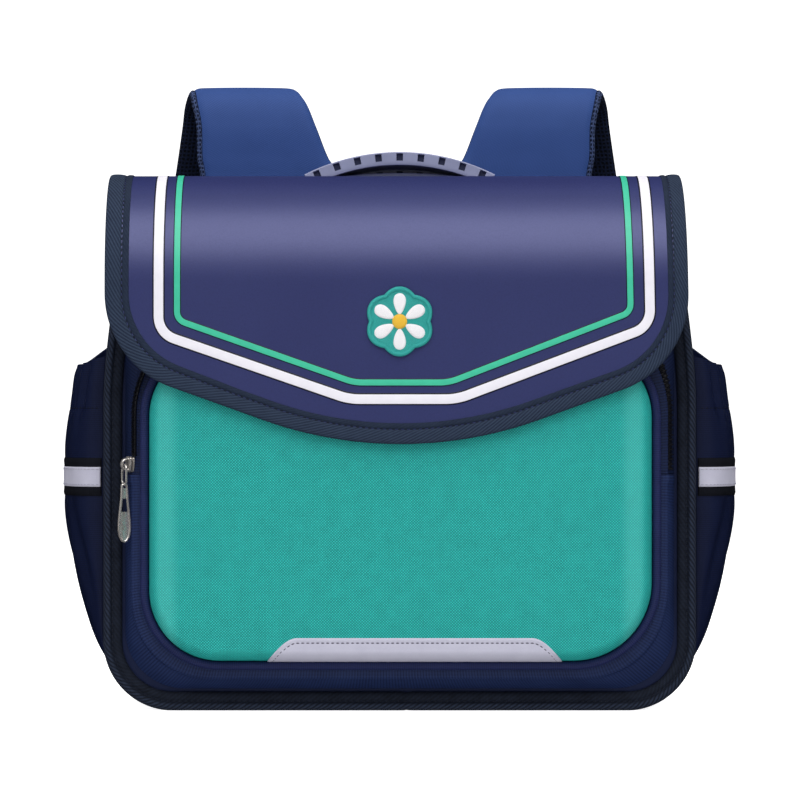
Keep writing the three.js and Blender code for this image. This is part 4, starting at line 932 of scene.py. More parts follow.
def pocket_sides(end, upper, step):
    """The pocket's outline at the body and at its front, above or below the zip's ends, point for point."""
    lines = []
    for outline in (POCKET_BASE, POCKET_FRONT):
        turn = outline["top"] if upper else outline["bottom"]
        side = outline["half"] if upper else -outline["half"]
        radii = [outline[name] for name in (("corner", "corner") if upper else ("low_left", "low_right"))]
        corners = [(side, end, 0), (side, turn, radii[0]), (-side, turn, radii[1]), (-side, end, 0)]
        lines.append(rounded_line(corners, step))
    count = min(len(lines[0][0]), len(lines[1][0]))
    at = np.linspace(0, 1, count)
    matched = []
    for points, inward in lines:
        share = np.linspace(0, 1, len(points))
        matched.append(read_off(at, share, np.concatenate([points, inward], axis=1)))
    return matched


def band_place(back, front, along, out):
    """A point of the pocket's side band: along runs from its seam on the body (0) to the panel (1), and it
    bows out between them as a sine."""
    bow = (out + BAND_BOW * np.sin(np.pi * along))[..., None]
    flat = back[:, None, :2] * (1 - along[..., None]) + front[:, None, :2] * along[..., None]
    flat = flat - back[:, None, 2:] * bow
    y = POCKET_BASE["y"] + (POCKET_FRONT["y"] - POCKET_BASE["y"]) * along
    return front_place(flat[..., 0], flat[..., 1], y)


def pocket_band(name, upper, material, node, fold):
    """One half of the band: a sheet with a raised seam beside the piping, folded where the zip stops."""
    end = ZIP_END + (BAND_GAP if upper else -BAND_GAP)
    back, front = pocket_sides(end, upper, 2)
    share = np.linspace(0, 1, BAND_COLUMNS)
    along = np.broadcast_to(share, (len(back), len(share)))
    length = travel(front[:, :2])
    from_end = np.minimum(length, length[-1] - length)[:, None]
    out = SEAM_RIDGE["rise"] * hump(along, SEAM_RIDGE["at"], SEAM_RIDGE["spread"])
    out = out - SEAM_GROOVE["drop"] * hump(along, SEAM_GROOVE["at"], SEAM_GROOVE["spread"])
    out = out + fold * (1 - ease(*FOLD_RANGE, from_end)) * np.sin(np.pi * along) ** 0.3
    uv = lengths(length, share * BAND_WIDTH)
    faces = [band_place(back, front, along, value) for value in (out, np.full_like(out, -BAND_WALL))]
    made = piece(name, sheet_skins(*faces, uv), material, [node])


COIL_PITCH = 1.5
COIL_ALONG = {"right": 0.62, "left": 0.82}  # place of the coil across the band, from the body to the panel
COIL_STOP = {"right": 147, "left": 156}
COIL_TURN = {"right": np.radians(46), "left": np.radians(16)}  # the coil is rolled towards the front
COIL_SHIFT = (-140, 140)  # x between which its place across the band changes
COIL_LIFT = 1.9  # of the loops' middles above the tape
COIL_SWAY = 0.75  # each loop lies this far to its own side
COIL_LOOP = (5.0, 1.4, 1.9)  # length, width and height of a loop
COIL_CORD = {"lift": 0.7, "half_height": 1.2, "half_width": 2.6}


def zip_coil():
    """Nylon coil: two rows of short loops that cross the zip's middle by turns, on a raised cord."""
    back, front = pocket_sides(ZIP_END, True, 0.5)
    stop = np.where(back[:, 0] > 0, COIL_STOP["right"], COIL_STOP["left"])
    keep = back[:, 1] >= stop
    back, front = back[keep], front[keep]
    middle = np.interp(back[:, :1], COIL_SHIFT, (COIL_ALONG["left"], COIL_ALONG["right"]))
    floor = band_place(back, front, middle, np.zeros_like(middle))[:, 0]
    above = band_place(back, front, middle, np.ones_like(middle))[:, 0]
    ahead = band_place(back, front, middle + 0.05, np.zeros_like(middle))[:, 0]
    rolled = np.where(back[:, :1] > 0, COIL_TURN["right"], COIL_TURN["left"])
    out = unit(unit(above - floor) * np.cos(rolled) + unit(ahead - floor) * np.sin(rolled))
    along = travel(floor)
    at = np.arange(0, along[-1], COIL_PITCH)
    running = np.gradient(floor, axis=0)
    centre, facing, ahead = (read_off(at, along, table) for table in (floor + out * COIL_LIFT, out, running))
    across = unit(np.cross(facing, ahead))
    side = np.where(np.arange(len(at)) % 2, COIL_SWAY, -COIL_SWAY)[:, None]
    loops = beads(centre + across * side, across, facing, *COIL_LOOP)
    turn = circle(12)
    high = COIL_CORD["lift"] + COIL_CORD["half_height"] * np.sin(turn)
    wide = unit(np.cross(out, running))
    cord = floor[:, None] + out[:, None] * high[:, None]
    cord = cord + wide[:, None] * (COIL_CORD["half_width"] * np.cos(turn))[:, None]
    rod = rod_skin(cord, along, np.append(turn, 2 * np.pi))
    piece("zip_coil_loops", [loops, rod], COIL_NYLON, ["zip_coil"])


# Reflective trim on the lower edge of the panel
TRIM_LEFT, TRIM_RIGHT = reach("reflective_trim")[0][0] - 1, reach("reflective_trim")[1][0] - 0.4
TRIM_END_RUN = 18.5  # its upper edge falls over this distance at each end
TRIM_START = 0.12  # angle round the panel's roll where the trim begins
TRIM_FLAT = 7.2
TRIM_RISE = 0.6
TRIM_STITCH_INSET = 3.0
TRIM_STITCH = 3.0
TRIM_FOOT = 0.02  # of its lower face above the panel
TRIM_EDGE = 0.1  # of its thin edge above the panel
TRIM_GROOVE = {"drop": 0.3, "spread": 0.7}  # under the stitches
TRIM_SEAM = 0.5  # height of the stitches above the panel
TRIM_ROWS = 24
TRIM_COLUMNS = 70


def trim_place(x, run, out):
    """A point of the trim: run is its distance up the panel, round the roll and then straight up."""
    arc = ROLL_RUN * (np.pi / 2 - TRIM_START)
    angle = TRIM_START + np.minimum(run, arc) / ROLL_RUN
    past = np.maximum(run - arc, 0)
    start = PANEL_HIGH[1] - PANEL_STRAIGHT
    z = PANEL_BOTTOM + PANEL_ROLL_IN - (PANEL_ROLL_IN + out) * np.cos(angle) + past
    slope = PANEL_CROWN / PANEL_CROWN_RUN * np.pi / 2
    return np.stack([x, start - (PANEL_ROLL + out) * np.sin(angle) - past * slope, z], axis=-1)


def trim_top(x):
    """Length of the trim up the panel from its foot. Seen from the front, its upper edge rises at each end
    as a quarter of a sine wave, and that height is unrolled here round the panel's edge."""
    share = np.clip(np.minimum(x - TRIM_LEFT, TRIM_RIGHT - x) / TRIM_END_RUN, 0, 1)
    foot = 1 - np.cos(TRIM_START)
    height = foot + (1 - foot + TRIM_FLAT / PANEL_ROLL_IN) * np.sin(share * np.pi / 2)
    angle = np.arccos(1 - np.minimum(height, 1))
    return ROLL_RUN * (angle - TRIM_START) + PANEL_ROLL_IN * np.maximum(height - 1, 0)


def reflective_trim():
    """A strip of reflective cloth with long rounded upper corners, and stitches just inside its edge."""
    share = np.linspace(0, 1, TRIM_ROWS)
    end = TRIM_END_RUN * share**1.5
    straight = np.linspace(TRIM_LEFT + TRIM_END_RUN, TRIM_RIGHT - TRIM_END_RUN, TRIM_COLUMNS)[1:-1]
    x = np.concatenate([TRIM_LEFT + end, straight, (TRIM_RIGHT - end)[::-1]])
    run = trim_top(x)[:, None] * share
    across = np.broadcast_to(x[:, None], run.shape)
    uv = np.stack([across, run], axis=-1)
    edge = trim_top(x)[:, None] - run
    groove = TRIM_GROOVE["drop"] * hump(edge, TRIM_STITCH_INSET, TRIM_GROOVE["spread"])
    out = TRIM_EDGE + TRIM_RISE * ease(-0.2, 0.8, edge) - groove
    faces = [trim_place(across, run, level) for level in (out, np.full_like(run, TRIM_FOOT))]
    piece("trim_cloth", sheet_skins(*faces, uv), REFLECTIVE, ["reflective_trim"])
    line = resample(np.stack([x, trim_top(x)], axis=1), 1)
    path = inside(line, -TRIM_STITCH_INSET)
    path = path[path[:, 1] > 0]
    seam, above = (trim_place(*path.T, np.full(len(path), out)) for out in (TRIM_SEAM, TRIM_SEAM + 1))
    piece("trim_stitches", [stitches(seam, above - seam, TRIM_STITCH)], GREY_THREAD)


# Edges of the body

BODY_FOOT = 0.3  # height of the line that the tapes follow along the bottom


def body_edge(top, step):
    """The body's outline, open at the top: down its left side, along the bottom and up its right side."""
    left = [(-BODY_HALF, top, 0), (-BODY_HALF, BODY_FOOT, BODY_CORNER)]
    right = [(BODY_HALF, BODY_FOOT, BODY_CORNER), (BODY_HALF, top, 0)]
    return rounded_line([*left, *right], step)


# Sections of the tapes: inset from the body's edge, and place along Y
FRONT_TAPE_ROWS = [
    (0.6, -57.0),
    (-0.3, -59.5),
    (-0.5, -62.5),
    (0.2, -65.6),
    (1.8, -67.6),
    (3.7, -67.8),
    (5.4, -66.1),
    (7.2, -66.8),
    (9.4, -66.5),
    (10.9, -65.3),
    (11.2, -64.1),
]
FRONT_TAPE_INSIDE = [(8.0, -64.0), (4.0, -64.0), (4.0, -57.0)]
BACK_TAPE_ROWS = [
    (0.6, 48.0),
    (0.0, 52.0),
    (-0.1, 61.0),
    (0.5, 64.6),
    (2.2, 66.4),
    (4.0, 66.5),
    (5.6, 65.3),
    (7.4, 65.9),
    (9.6, 65.6),
    (11.0, 64.0),
]
BACK_TAPE_INSIDE = [(7.0, 63.7), (4.0, 63.6), (4.0, 48.0)]
# Name, outer and inner section, height of its ends, where its stitches lie, and which way they face along Y
BODY_TAPES = [
    ("front", FRONT_TAPE_ROWS, FRONT_TAPE_INSIDE, 302, (5.4, -66.2), -1),
    ("back", BACK_TAPE_ROWS, BACK_TAPE_INSIDE, 286, (5.6, 65.4), 1),
]
BODY_STITCH = 3.6


def body_tapes():
    """Twill tape bound round the body's front and back edges: a rolled half, a sunk row of stitches and a
    flat half, with a nick where its ends meet."""
    for name, rows, inner, top, seam, facing in BODY_TAPES:
        line, inward = body_edge(top, 2)
        section = np.concatenate([spline(rows, 4), inner])
        points = carried(line, inward, section, front_place)
        flat = line[:, 1] < 1
        points = nicked(points, flat * hump(line[:, 0], TAPE_JOINT, JOINT_WIDTH * 2) * JOINT_NICK["tape"])
        made = rod_skin(leaned(points), travel(line), and_last(travel(section), 2))
        piece(f"{name}_tape", [made], BODY_TAPE, [f"{name}_binding"])
        path = leaned(carried(line, inward, np.array([seam]), front_place)[:, 0])
        out = np.tile([0.0, facing, 0.0], (len(path), 1))
        piece(f"{name}_tape_stitches", [stitches(path, out, BODY_STITCH)], DARK_THREAD)


# Body


def side_x(z):
    """Outer face of a side panel: upright with the body's lean, and a quarter circle under at its foot."""
    drop = np.maximum(SIDE_RADIUS - z, 0)
    return SIDE_X - SIDE_RADIUS + np.sqrt(np.maximum(SIDE_RADIUS**2 - drop**2, 0)) - lean(z)


SIDE_WALL = 2.5
SIDE_HEM = 2.5  # soft upper edge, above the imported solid
SIDE_REACH = (-3.5, 5.2)  # how far its upper corners reach in Y, to the front wall and to the back panel
FAN_RANGES = ((284, 294), (272, 284))  # heights where that begins and is full, at the front and at the back
SIDE_SLACK = 0.7
SLACK_RANGE = (60, 120)  # heights where it begins and is full
SIDE_COLUMNS = 28


def side_panel(name, side):
    """Nylon side wall: down from its top edge, round the lower corner and a little way under, drawn
    slightly in between its seams. Above the bindings' ends it reaches on to the front wall and the back
    panel."""
    corners = [(-SIDE_X, SIDE_HIGH[2] + SIDE_HEM, 0), (-SIDE_X, 0, SIDE_RADIUS), (-SIDE_LOW[0], 0, 0)]
    line, inward = rounded_line(corners, 3)
    share = np.linspace(0, 1, SIDE_COLUMNS)
    y = np.linspace(SIDE_LOW[1], SIDE_HIGH[1], SIDE_COLUMNS)
    fanned = y
    for far, heights, toward in zip(SIDE_REACH, FAN_RANGES, (share[::-1], share)):
        fanned = fanned + far * ease(*heights, line[:, 1])[:, None] * toward**4
    hung = ease(*SLACK_RANGE, line[:, 1])[:, None] * SIDE_SLACK * np.sin(np.pi * share) ** 2
    faces = []
    for depth in (0, SIDE_WALL):
        flat = line[:, None] + inward[:, None] * (hung[..., None] + depth)
        faces.append(leaned(np.stack([-side * flat[..., 0], fanned, flat[..., 1]], axis=-1)))
    uv = lengths(travel(line), y)
    node = f"side_panel_{name}"
    made = piece(node + "_cloth", sheet_skins(*faces, uv), GUSSET_NYLON, [node])


# Side pockets
POUCH_LOW, POUCH_HIGH = reach("side_pocket_right")
POUCH_MIDDLE = (POUCH_LOW[1] + POUCH_HIGH[1]) / 2
POUCH_HALF = (POUCH_HIGH[1] - POUCH_LOW[1]) / 2
POUCH_FOOT = 28
POUCH_MOUTH = 210.6
POUCH_MOUTH_RISE = (5, 16)  # how much higher the mouth is at its front seam and at its back seam
POUCH_WALL = 1.5
HEM_SEAM = 184
# Height, and how far the pouch stands off the side
POUCH_ROWS = [
    (28, 0),
    (40, 6),
    (55, 11.8),
    (77, 18.8),
    (100, 23.9),
    (122, 26.5),
    (142, 25.6),
    (158, 26.3),
    (174, 25),
    (189, 22.6),
    (204, 21.4),
    (211, 19.8),
    (226, 19),
]
# Folds where elastic gathers the mouth: y, half width, depth
GATHERS = [(-45, 4.5, 7.5), (-31, 5, 4.5), (-15, 5, 2.4), (4, 5, 1.4), (22, 6, 2.0)]
# Slack folds below the tape: y at height 120, slope of the fold, half width, depth
SAGS = [(-41, 0.22, 6, 5.0), (-22, -0.14, 7, 3.4), (4, 0.14, 8, 2.6), (28, -0.16, 8, 2.8)]
GATHER_RANGE = (165, 204)  # heights between which the gathers deepen
RUFFLE = {"pitch": 8.3, "depth": 0.25, "range": (176, 190)}  # fine ripples of the elastic hem
SAG_LEVEL = 120  # height at which the slack folds' places are given
SAG_HEIGHTS = (88, 36)  # middle and spread of the slack folds
FULLNESS = (2.0, 8.0)  # powers that shape its front and its back half
HEM_CREASE = {"depth": 0.4, "spread": 1.3}
SEAM_STAND = 0.2  # the seams stand off the side panel by this much
FOOT_RANGE = (POUCH_FOOT - 4, POUCH_FOOT + 22)  # heights between which its wall comes to stand off too
HEM_LIFT = 0.2
HEM_STITCH = (3.0, 1.9, 0.6, 0.6)  # pitch, length, width and height
STRIP_STITCH = (2.8, 1.8, 0.5, 0.5)
STRIP_SEAM = 1.3  # inset of the stitches from the reflective strip's edges
TAPE_SINK = 0.08


def fullness(share):
    """How far a pouch stands out across its width: rounded at the front, square at its pleated back."""
    power = np.where(share < 0, *FULLNESS)
    return np.maximum(1 - np.abs(share) ** power, 0) ** 0.45


def pouch_x(share, z):
    """How far out a side pocket's face lies. share runs from -1 at its front seam to 1 at its back seam.
    The pouch is full in the middle, gathered by its elastic at the mouth, and slack below."""
    table = spline(POUCH_ROWS, 8)
    bulge = np.interp(z, table[:, 0], table[:, 1])
    y = POUCH_MIDDLE + share * POUCH_HALF
    dip = sum(depth * hump(y, middle, spread) for middle, spread, depth in GATHERS) * ease(*GATHER_RANGE, z)
    wave = 2 * np.pi * y / RUFFLE["pitch"] + 1.4 * np.sin(y / 5)
    ruffle = RUFFLE["depth"] * np.sin(wave) * ease(*RUFFLE["range"], z)
    folds = (depth * hump(y, at + slope * (z - SAG_LEVEL), spread) for at, slope, spread, depth in SAGS)
    slack = sum(folds) * hump(z, *SAG_HEIGHTS)
    crease = HEM_CREASE["depth"] * hump(z, HEM_SEAM, HEM_CREASE["spread"])
    seam = SEAM_STAND + POUCH_WALL * ease(*FOOT_RANGE, z)
    return side_x(z) + seam + fullness(share) * (bulge - dip - ruffle - slack - crease)


def pouch_place(share, z, side, off):
    """A point off a side pocket's face, by the same distance outwards and along its width."""
    y = POUCH_MIDDLE + share * (POUCH_HALF + off)
    return np.stack([side * (pouch_x(share, z) + off), y, z], axis=-1)


POUCH_COLUMNS = 150
POUCH_LINES = 110


def side_pocket(name, side):
    """A nylon pouch sewn to the side panel at its front, back and foot, with an elastic hem at its mouth."""
    share = -np.cos(np.pi * np.linspace(0, 1, POUCH_COLUMNS))
    mouth = POUCH_MOUTH + np.where(share < 0, *POUCH_MOUTH_RISE) * (1 - fullness(share))
    z = POUCH_FOOT + (mouth - POUCH_FOOT)[:, None] * np.linspace(0, 1, POUCH_LINES)
    across = np.broadcast_to(share[:, None], z.shape)
    outer, inner = (pouch_place(across, z, side, off) for off in (0, -POUCH_WALL))
    around = travel(outer[:, POUCH_LINES // 2])
    uv = np.stack([z, np.broadcast_to(around[:, None], z.shape)], axis=-1)
    node = f"side_pocket_{name}"
    made = piece(node + "_cloth", sheet_skins(outer, inner, uv), POUCH_NYLON, [node])
    at = -np.cos(np.pi * np.linspace(0.02, 0.98, 90))
    out = np.tile([float(side), 0.0, 0.0], (len(at), 1))
    path = pouch_place(at, np.full_like(at, HEM_SEAM), side, 0) + HEM_LIFT * out
    piece(node + "_stitches", [stitches(path, out, *HEM_STITCH)], DARK_THREAD)


BAND = {"low": 130.3, "high": 153.5, "rise": 0.7, "off": 0.1, "from": 0.004, "to": 0.996}
STRIP = {"low": 136, "high": 148, "rise": 0.55, "off": 0.75, "from": 0.004, "to": 0.97}


def pouch_tape(label, name, side, size, material):
    """Tape sewn round a pouch, with thin edges, a fixed distance off the pouch's face."""
    share = -np.cos(np.pi * np.linspace(size["from"], size["to"], 130))
    z = np.linspace(size["low"], size["high"], 16)
    across, height = np.meshgrid(share, z, indexing="ij")
    edge = np.minimum(height - size["low"], size["high"] - height)
    rise = size["off"] + size["rise"] * ease(-0.3, 0.7, edge)
    offs = (rise, np.full_like(rise, size["off"] - TAPE_SINK))
    faces = [pouch_place(across, height, side, off) for off in offs]
    uv = lengths(travel(faces[0][:, 8]), z)
    return piece(f"{label}_{name}_tape", sheet_skins(*faces, uv), material, [f"{label}_{name}"])


def strip_stitches(name, side):
    """Stitches just inside both edges of the reflective strip."""
    share = -np.cos(np.pi * np.linspace(STRIP["from"], STRIP["to"], 100))
    off = STRIP["off"] + STRIP["rise"] + TAPE_SINK
    out = np.tile([float(side), 0.0, 0.0], (len(share), 1))
    skins = []
    for z in (STRIP["low"] + STRIP_SEAM, STRIP["high"] - STRIP_SEAM):
        path = pouch_place(share, np.full_like(share, z), side, off)
        skins.append(stitches(path, out, *STRIP_STITCH))
    piece(f"side_reflector_{name}_stitches", skins, PALE_THREAD)


# Shoulder straps: x, y, z and width of the left one, from its sewn upper end to its buckle
STRAP_ROWS = [
    (-77, 72, 266, 86),
    (-77, 72, 300, 87),
    (-78, 72, 330, 86),
    (-83, 72, 343, 80),
    (-87, 72.5, 362, 73),
    (-91.5, 77, 376, 70),
    (-96, 88, 382, 66),
    (-101, 99, 376, 62),
    (-104, 105, 362, 60),
    (-109, 112, 330, 60),
    (-116.5, 120, 285, 60),
    (-123, 124, 235, 60),
    (-127, 121, 185, 59),
    (-130, 112, 140, 55),
    (-132, 103, 112, 46),
]
WEBBING_ROWS = [
    (-133.8, 94.8, 86.6, 25),
    (-135, 88, 67, 25),
    (-137, 76, 48, 25),
    (-138, 67, 37, 25),
    (-138, 64.6, 25, 25),
]
STRAP_HALF = 5.5  # half thickness
WEBBING_HALF = 0.9
STRAP_ENDS = ((-12, 26), (-14, 22))  # distances from its upper and its lower end over which it thickens
STRAP_THIN = 0.35  # share of its thickness that is left where it is thinnest
STRAP_AROUND = 132  # about, round its section, for the pattern of its mesh
WEBBING_AROUND = 53
STRAP_WIDE = 60  # about, for the pattern of its face cloth
STRAP_FACE = {"margin": 0.6, "edge": 0.1, "puff": 0.9, "range": (-0.4, 2.6), "sink": 0.3}
STRAP_ROLL = {"swell": 0.07, "past": 0.9, "half_width": 2.3, "lift": 0.1, "half_height": 0.72, "around": 3.4}
SHIFT_RANGE = (120, 260)  # heights between which the shift begins and is full
STRAP_SHIFT = -2.4  # both straps lie a little to the left at the top
MESH_LOOP = 3.6  # length of one puff of the rolled edge
MESH_EDGE = 3.4  # the mesh core reaches this far past the face cloth, on the side away from the neck


def strap_frames(rows, side, step):
    """Centres, outward directions and widths along a strap, whose cross lines stay level."""
    line = spline(np.array(rows) * [-side, 1, 1, 1], 24)
    line[:, 0] += STRAP_SHIFT * ease(*SHIFT_RANGE, line[:, 2])
    line = resample(line, step)
    running = np.gradient(line[:, :3], axis=0) * [0, 1, 1]
    out = np.cross([1.0, 0, 0], unit(running))
    return line[:, :3], out, line[:, 3]


def strap_rise(share):
    """Half thickness of a strap across its width, as a share: a slab with round edges, slightly crowned."""
    return np.maximum(1 - np.abs(share) ** 14, 0) ** 0.45 * (1 - 0.1 * share**2)


def strap(name, side):
    """Padded strap: a core of spacer mesh with rounded edges, a face cloth on its outer side, and a puffed
    roll of mesh along the edge away from the neck."""
    centre, out, width = strap_frames(STRAP_ROWS, side, 1.2)
    along = travel(centre)
    ends = np.minimum(ease(*STRAP_ENDS[0], along), ease(*STRAP_ENDS[1], along[-1] - along))
    half = STRAP_HALF * (STRAP_THIN + (1 - STRAP_THIN) * ends)
    turn = circle(72)
    share = squared(np.cos(turn), 0.55)
    lift = np.sign(np.sin(turn)) * strap_rise(share)
    across = np.array([1.0, 0, 0])
    core_half = (width + MESH_EDGE) / 2
    core_x = core_half[:, None] * share + side * MESH_EDGE / 2
    core = centre[:, None] + across * core_x[..., None] + out[:, None] * (half[:, None] * lift)[..., None]
    round_it = np.append(travel(core[len(core) // 2]), STRAP_AROUND)
    skins = [rod_skin(core, along, round_it)]
    # painted shade: the core's mesh is darkened partly for the shade under the strap
    made = piece(f"strap_{name}_mesh", skins, DARK_AND_SHADED_MESH, [f"strap_{name}"])

    t = np.linspace(0, 1, 44)
    face_x = (t - 0.5) * (width[:, None] - STRAP_FACE["margin"])
    edge = np.minimum(t, 1 - t) * width[:, None]
    puff = STRAP_FACE["edge"] + STRAP_FACE["puff"] * ease(*STRAP_FACE["range"], edge)
    top = half[:, None] * strap_rise((face_x - side * MESH_EDGE / 2) / core_half[:, None])
    face = centre[:, None] + across * face_x[..., None]
    outer = face + out[:, None] * (top + puff)[..., None]
    inner = face + out[:, None] * (top - STRAP_FACE["sink"])[..., None]
    uv = lengths(along, t * STRAP_WIDE)
    piece(f"strap_{name}_face", sheet_skins(outer, inner, uv), STRAP_NYLON)

    ring = turn[::4]
    swell = (1 + STRAP_ROLL["swell"] * np.cos(2 * np.pi * along / MESH_LOOP))[:, None]
    middle = side * (width / 2 + STRAP_ROLL["past"])[:, None]
    roll_x = middle + STRAP_ROLL["half_width"] * swell * np.cos(ring)
    roll_out = half[:, None] * (STRAP_ROLL["lift"] + STRAP_ROLL["half_height"] * swell * np.sin(ring))
    roll = centre[:, None] + across * roll_x[..., None] + out[:, None] * roll_out[..., None]
    skins = [rod_skin(roll, along, np.append(ring, 2 * np.pi) * STRAP_ROLL["around"])]
    # painted light: the edge roll's mesh is a paler, lit copy of the core's
    piece(f"strap_{name}_edge", skins, PALE_AND_LIT_EDGE_MESH)


def webbing(name, side):
    """Woven webbing from the buckle to the lower back corner: a flat ribbon with round edges."""
    centre, out, width = strap_frames(WEBBING_ROWS, side, 1.5)
    turn = circle(40)
    share = squared(np.cos(turn), 0.4)
    lift = np.sign(np.sin(turn)) * (1 - np.abs(share) ** 9)
    across = np.array([1.0, 0, 0])
    wide = across * (width[:, None] / 2 * share)[..., None]
    points = centre[:, None] + wide + out[:, None] * (WEBBING_HALF * lift)[:, None]
    round_it = np.append(travel(points[0]), WEBBING_AROUND)
    node = f"strap_webbing_{name}"
    piece(node + "_ribbon", [rod_skin(points, travel(centre), round_it)], WEBBING_CLOTH, [node])


# Zip slider, its link and its puller hang in the frame of the left side of the pocket's band
SLIDER_Z = 150
ZIP_ALONG = 0.72  # place of the slider across the band
CROWN_HOLE = 5.7
BAND_SLOPE = np.arctan((POCKET_BASE["half"] - POCKET_FRONT["half"]) / (POCKET_BASE["y"] - POCKET_FRONT["y"]))
ZIP_X = -(POCKET_BASE["half"] + (POCKET_FRONT["half"] - POCKET_BASE["half"]) * ZIP_ALONG + BAND_BOW)
ZIP_Y = POCKET_BASE["y"] + (POCKET_FRONT["y"] - POCKET_BASE["y"]) * ZIP_ALONG
PULLER_TOP = -11.55
SLIDER_HALF = 4.8  # half length
SLIDER_PLATES = ((0.2, 1.5), (2.3, 3.7))  # lower and upper face of each plate, out from the band
SLIDER_WIDE = (4.2, 1.2)  # half width at its upper end, and how much less it is at its lower end
CROWN = {"foot": 3.2, "rise": 4.2, "half_length": 3.3, "half_thickness": 0.75, "half_width": 1.5}
BRIDGE = {"radius": 1.4, "up": 2.8, "levels": (1.2, 2.6)}
LINK_CORNERS = [(-3.2, -11.9, 2.2), (3.2, -11.9, 2.2), (3.2, -0.3, 2.8), (-3.2, -0.3, 2.8)]
LINK_WIRE = 0.72  # radius


def zip_place(across, out, up):
    """A point of the zip's metal: across the band, out from it, and up from the slider's middle."""
    turn = BAND_SLOPE - np.pi / 2
    x = across * np.cos(turn) + out * np.sin(turn)
    y = across * np.sin(turn) - out * np.cos(turn)
    return np.stack([ZIP_X + x, ZIP_Y + y, SLIDER_Z + up], axis=-1)


def zip_slider():
    """Slider: two shield-shaped plates, a bridge between them, and an arched crown that holds the link."""
    up = np.linspace(1, -1, 25)
    turn = circle(28)
    skins = []
    for low, high in SLIDER_PLATES:
        taper = SLIDER_WIDE[0] - SLIDER_WIDE[1] * ease(0.1, -1, up)
        wide = taper * np.maximum(1 - np.abs(up) ** 8, 0) ** 0.4
        share = squared(np.cos(turn), 0.5)
        lift = squared(np.sin(turn), 0.6)
        middle, thick = (low + high) / 2, (high - low) / 2
        across = wide[:, None] * share
        out = np.broadcast_to(middle + thick * lift, across.shape)
        points = zip_place(across, out, np.broadcast_to(SLIDER_HALF * up[:, None], across.shape))
        skins.append(rod_skin(points, SLIDER_HALF * (1 - up), np.append(turn, 2 * np.pi)))
    arch = np.linspace(0, np.pi, 30)
    path_out = CROWN["foot"] + CROWN["rise"] * np.sin(arch) ** 0.7
    path_up = CROWN["half_length"] * np.cos(arch)
    ring = circle(12)
    slope_out, slope_up = np.gradient(path_out), np.gradient(path_up)
    size = np.hypot(slope_out, slope_up)
    thick = CROWN["half_thickness"] * np.cos(ring)
    out = path_out[:, None] + thick * (slope_up / size)[:, None]
    upward = path_up[:, None] - thick * (slope_out / size)[:, None]
    points = zip_place(np.broadcast_to(CROWN["half_width"] * np.sin(ring), out.shape), out, upward)
    skins.append(rod_skin(points, travel(points[:, 0]), np.append(ring, 2 * np.pi)))
    bridge = circle(16)
    out, across = np.meshgrid(BRIDGE["levels"], BRIDGE["radius"] * np.cos(bridge), indexing="ij")
    upward = np.broadcast_to(BRIDGE["up"] + BRIDGE["radius"] * np.sin(bridge), out.shape)
    points = zip_place(across, out, upward)
    skins.append(rod_skin(points, BRIDGE["levels"], np.append(bridge, 2 * np.pi)))
    piece("zip_slider_metal", skins, NICKEL, ["zip_slider"])


def zip_link():
    """Wire link: a rounded oblong loop of round wire through the crown and the puller's eye."""
    line, inward = rounded_line(LINK_CORNERS, 0.4, closed=True)
    ring = circle(12)
    section = LINK_WIRE * np.stack([np.cos(ring), np.sin(ring)], axis=1)
    points = carried(line, inward, section, lambda x, z, out: zip_place(x, CROWN_HOLE + out, z))
    along = and_last(travel(line), 0.4)
    uv = lengths(along, np.append(ring, 2 * np.pi))
    skins = [skin(points, uv, wrap_rows=True, wrap_columns=True)]
    piece("zip_link_wire", skins, NICKEL, ["zip_link"])


# Puller outline: distance below its top, and half width
PULLER_ROWS = [
    (0, 1.0),
    (0.7, 2.1),
    (3, 2.4),
    (8, 2.6),
    (14, 3.2),
    (21, 4.0),
    (27, 4.3),
    (32, 3.6),
    (35, 1.9),
    (36, 0.15),
]
PULLER_RIM = (0.75, 1.05)  # half width and half height of its rim
PULLER_PLATES = ((2.9, 9.2), (17.2, 35.2))  # where the plates above and below its slit begin and end
PLATE_HALF = 0.4125  # half thickness of the plates


def zip_puller():
    """Teardrop puller: a frame with a domed rim, a sunk plain face below, a slit above it and an eye at the
    top. The rim is a rounded section carried round the outline, and the face is a thin plate inside it."""
    rows = spline(PULLER_ROWS, 8)
    down, half = rows[:, 0], np.maximum(rows[:, 1], 0.05)
    left = np.stack([-half, PULLER_TOP - down], axis=1)
    outline = np.concatenate([left, (left * [-1, 1])[::-1]])
    line = resample(np.concatenate([outline, outline[:1]]), 0.5)[:-1]
    slope = unit(np.roll(line, -1, axis=0) - np.roll(line, 1, axis=0))
    inward = np.stack([-slope[:, 1], slope[:, 0]], axis=1)
    ring = circle(14)
    section = np.stack([PULLER_RIM[0] * (1 + np.cos(ring)), PULLER_RIM[1] * np.sin(ring)], axis=1)
    points = carried(line, inward, section, puller_place)
    along = and_last(travel(line), 0.5)
    skins = [skin(points, lengths(along, np.append(ring, 2 * np.pi)), wrap_rows=True, wrap_columns=True)]
    for top, bottom in PULLER_PLATES:
        level = np.linspace(top, bottom, 24)
        wide = np.maximum(np.interp(level, down, half) - 0.5, 0.05)
        side = np.linspace(-1, 1, 9)
        across = wide[:, None] * side
        z = np.broadcast_to((PULLER_TOP - level)[:, None], across.shape)
        faces = [puller_place(across, z, np.full_like(across, out)) for out in (PLATE_HALF, -PLATE_HALF)]
        skins += sheet_skins(*faces, np.stack([across, z], axis=-1))
    piece("zip_puller_metal", skins, NICKEL, ["zip_puller"])


def puller_place(side, z, out):
    """A point of the puller, which hangs edge on: side is out from the pocket, and out is along the zip."""
    return zip_place(-out, CROWN_HOLE + side, z)


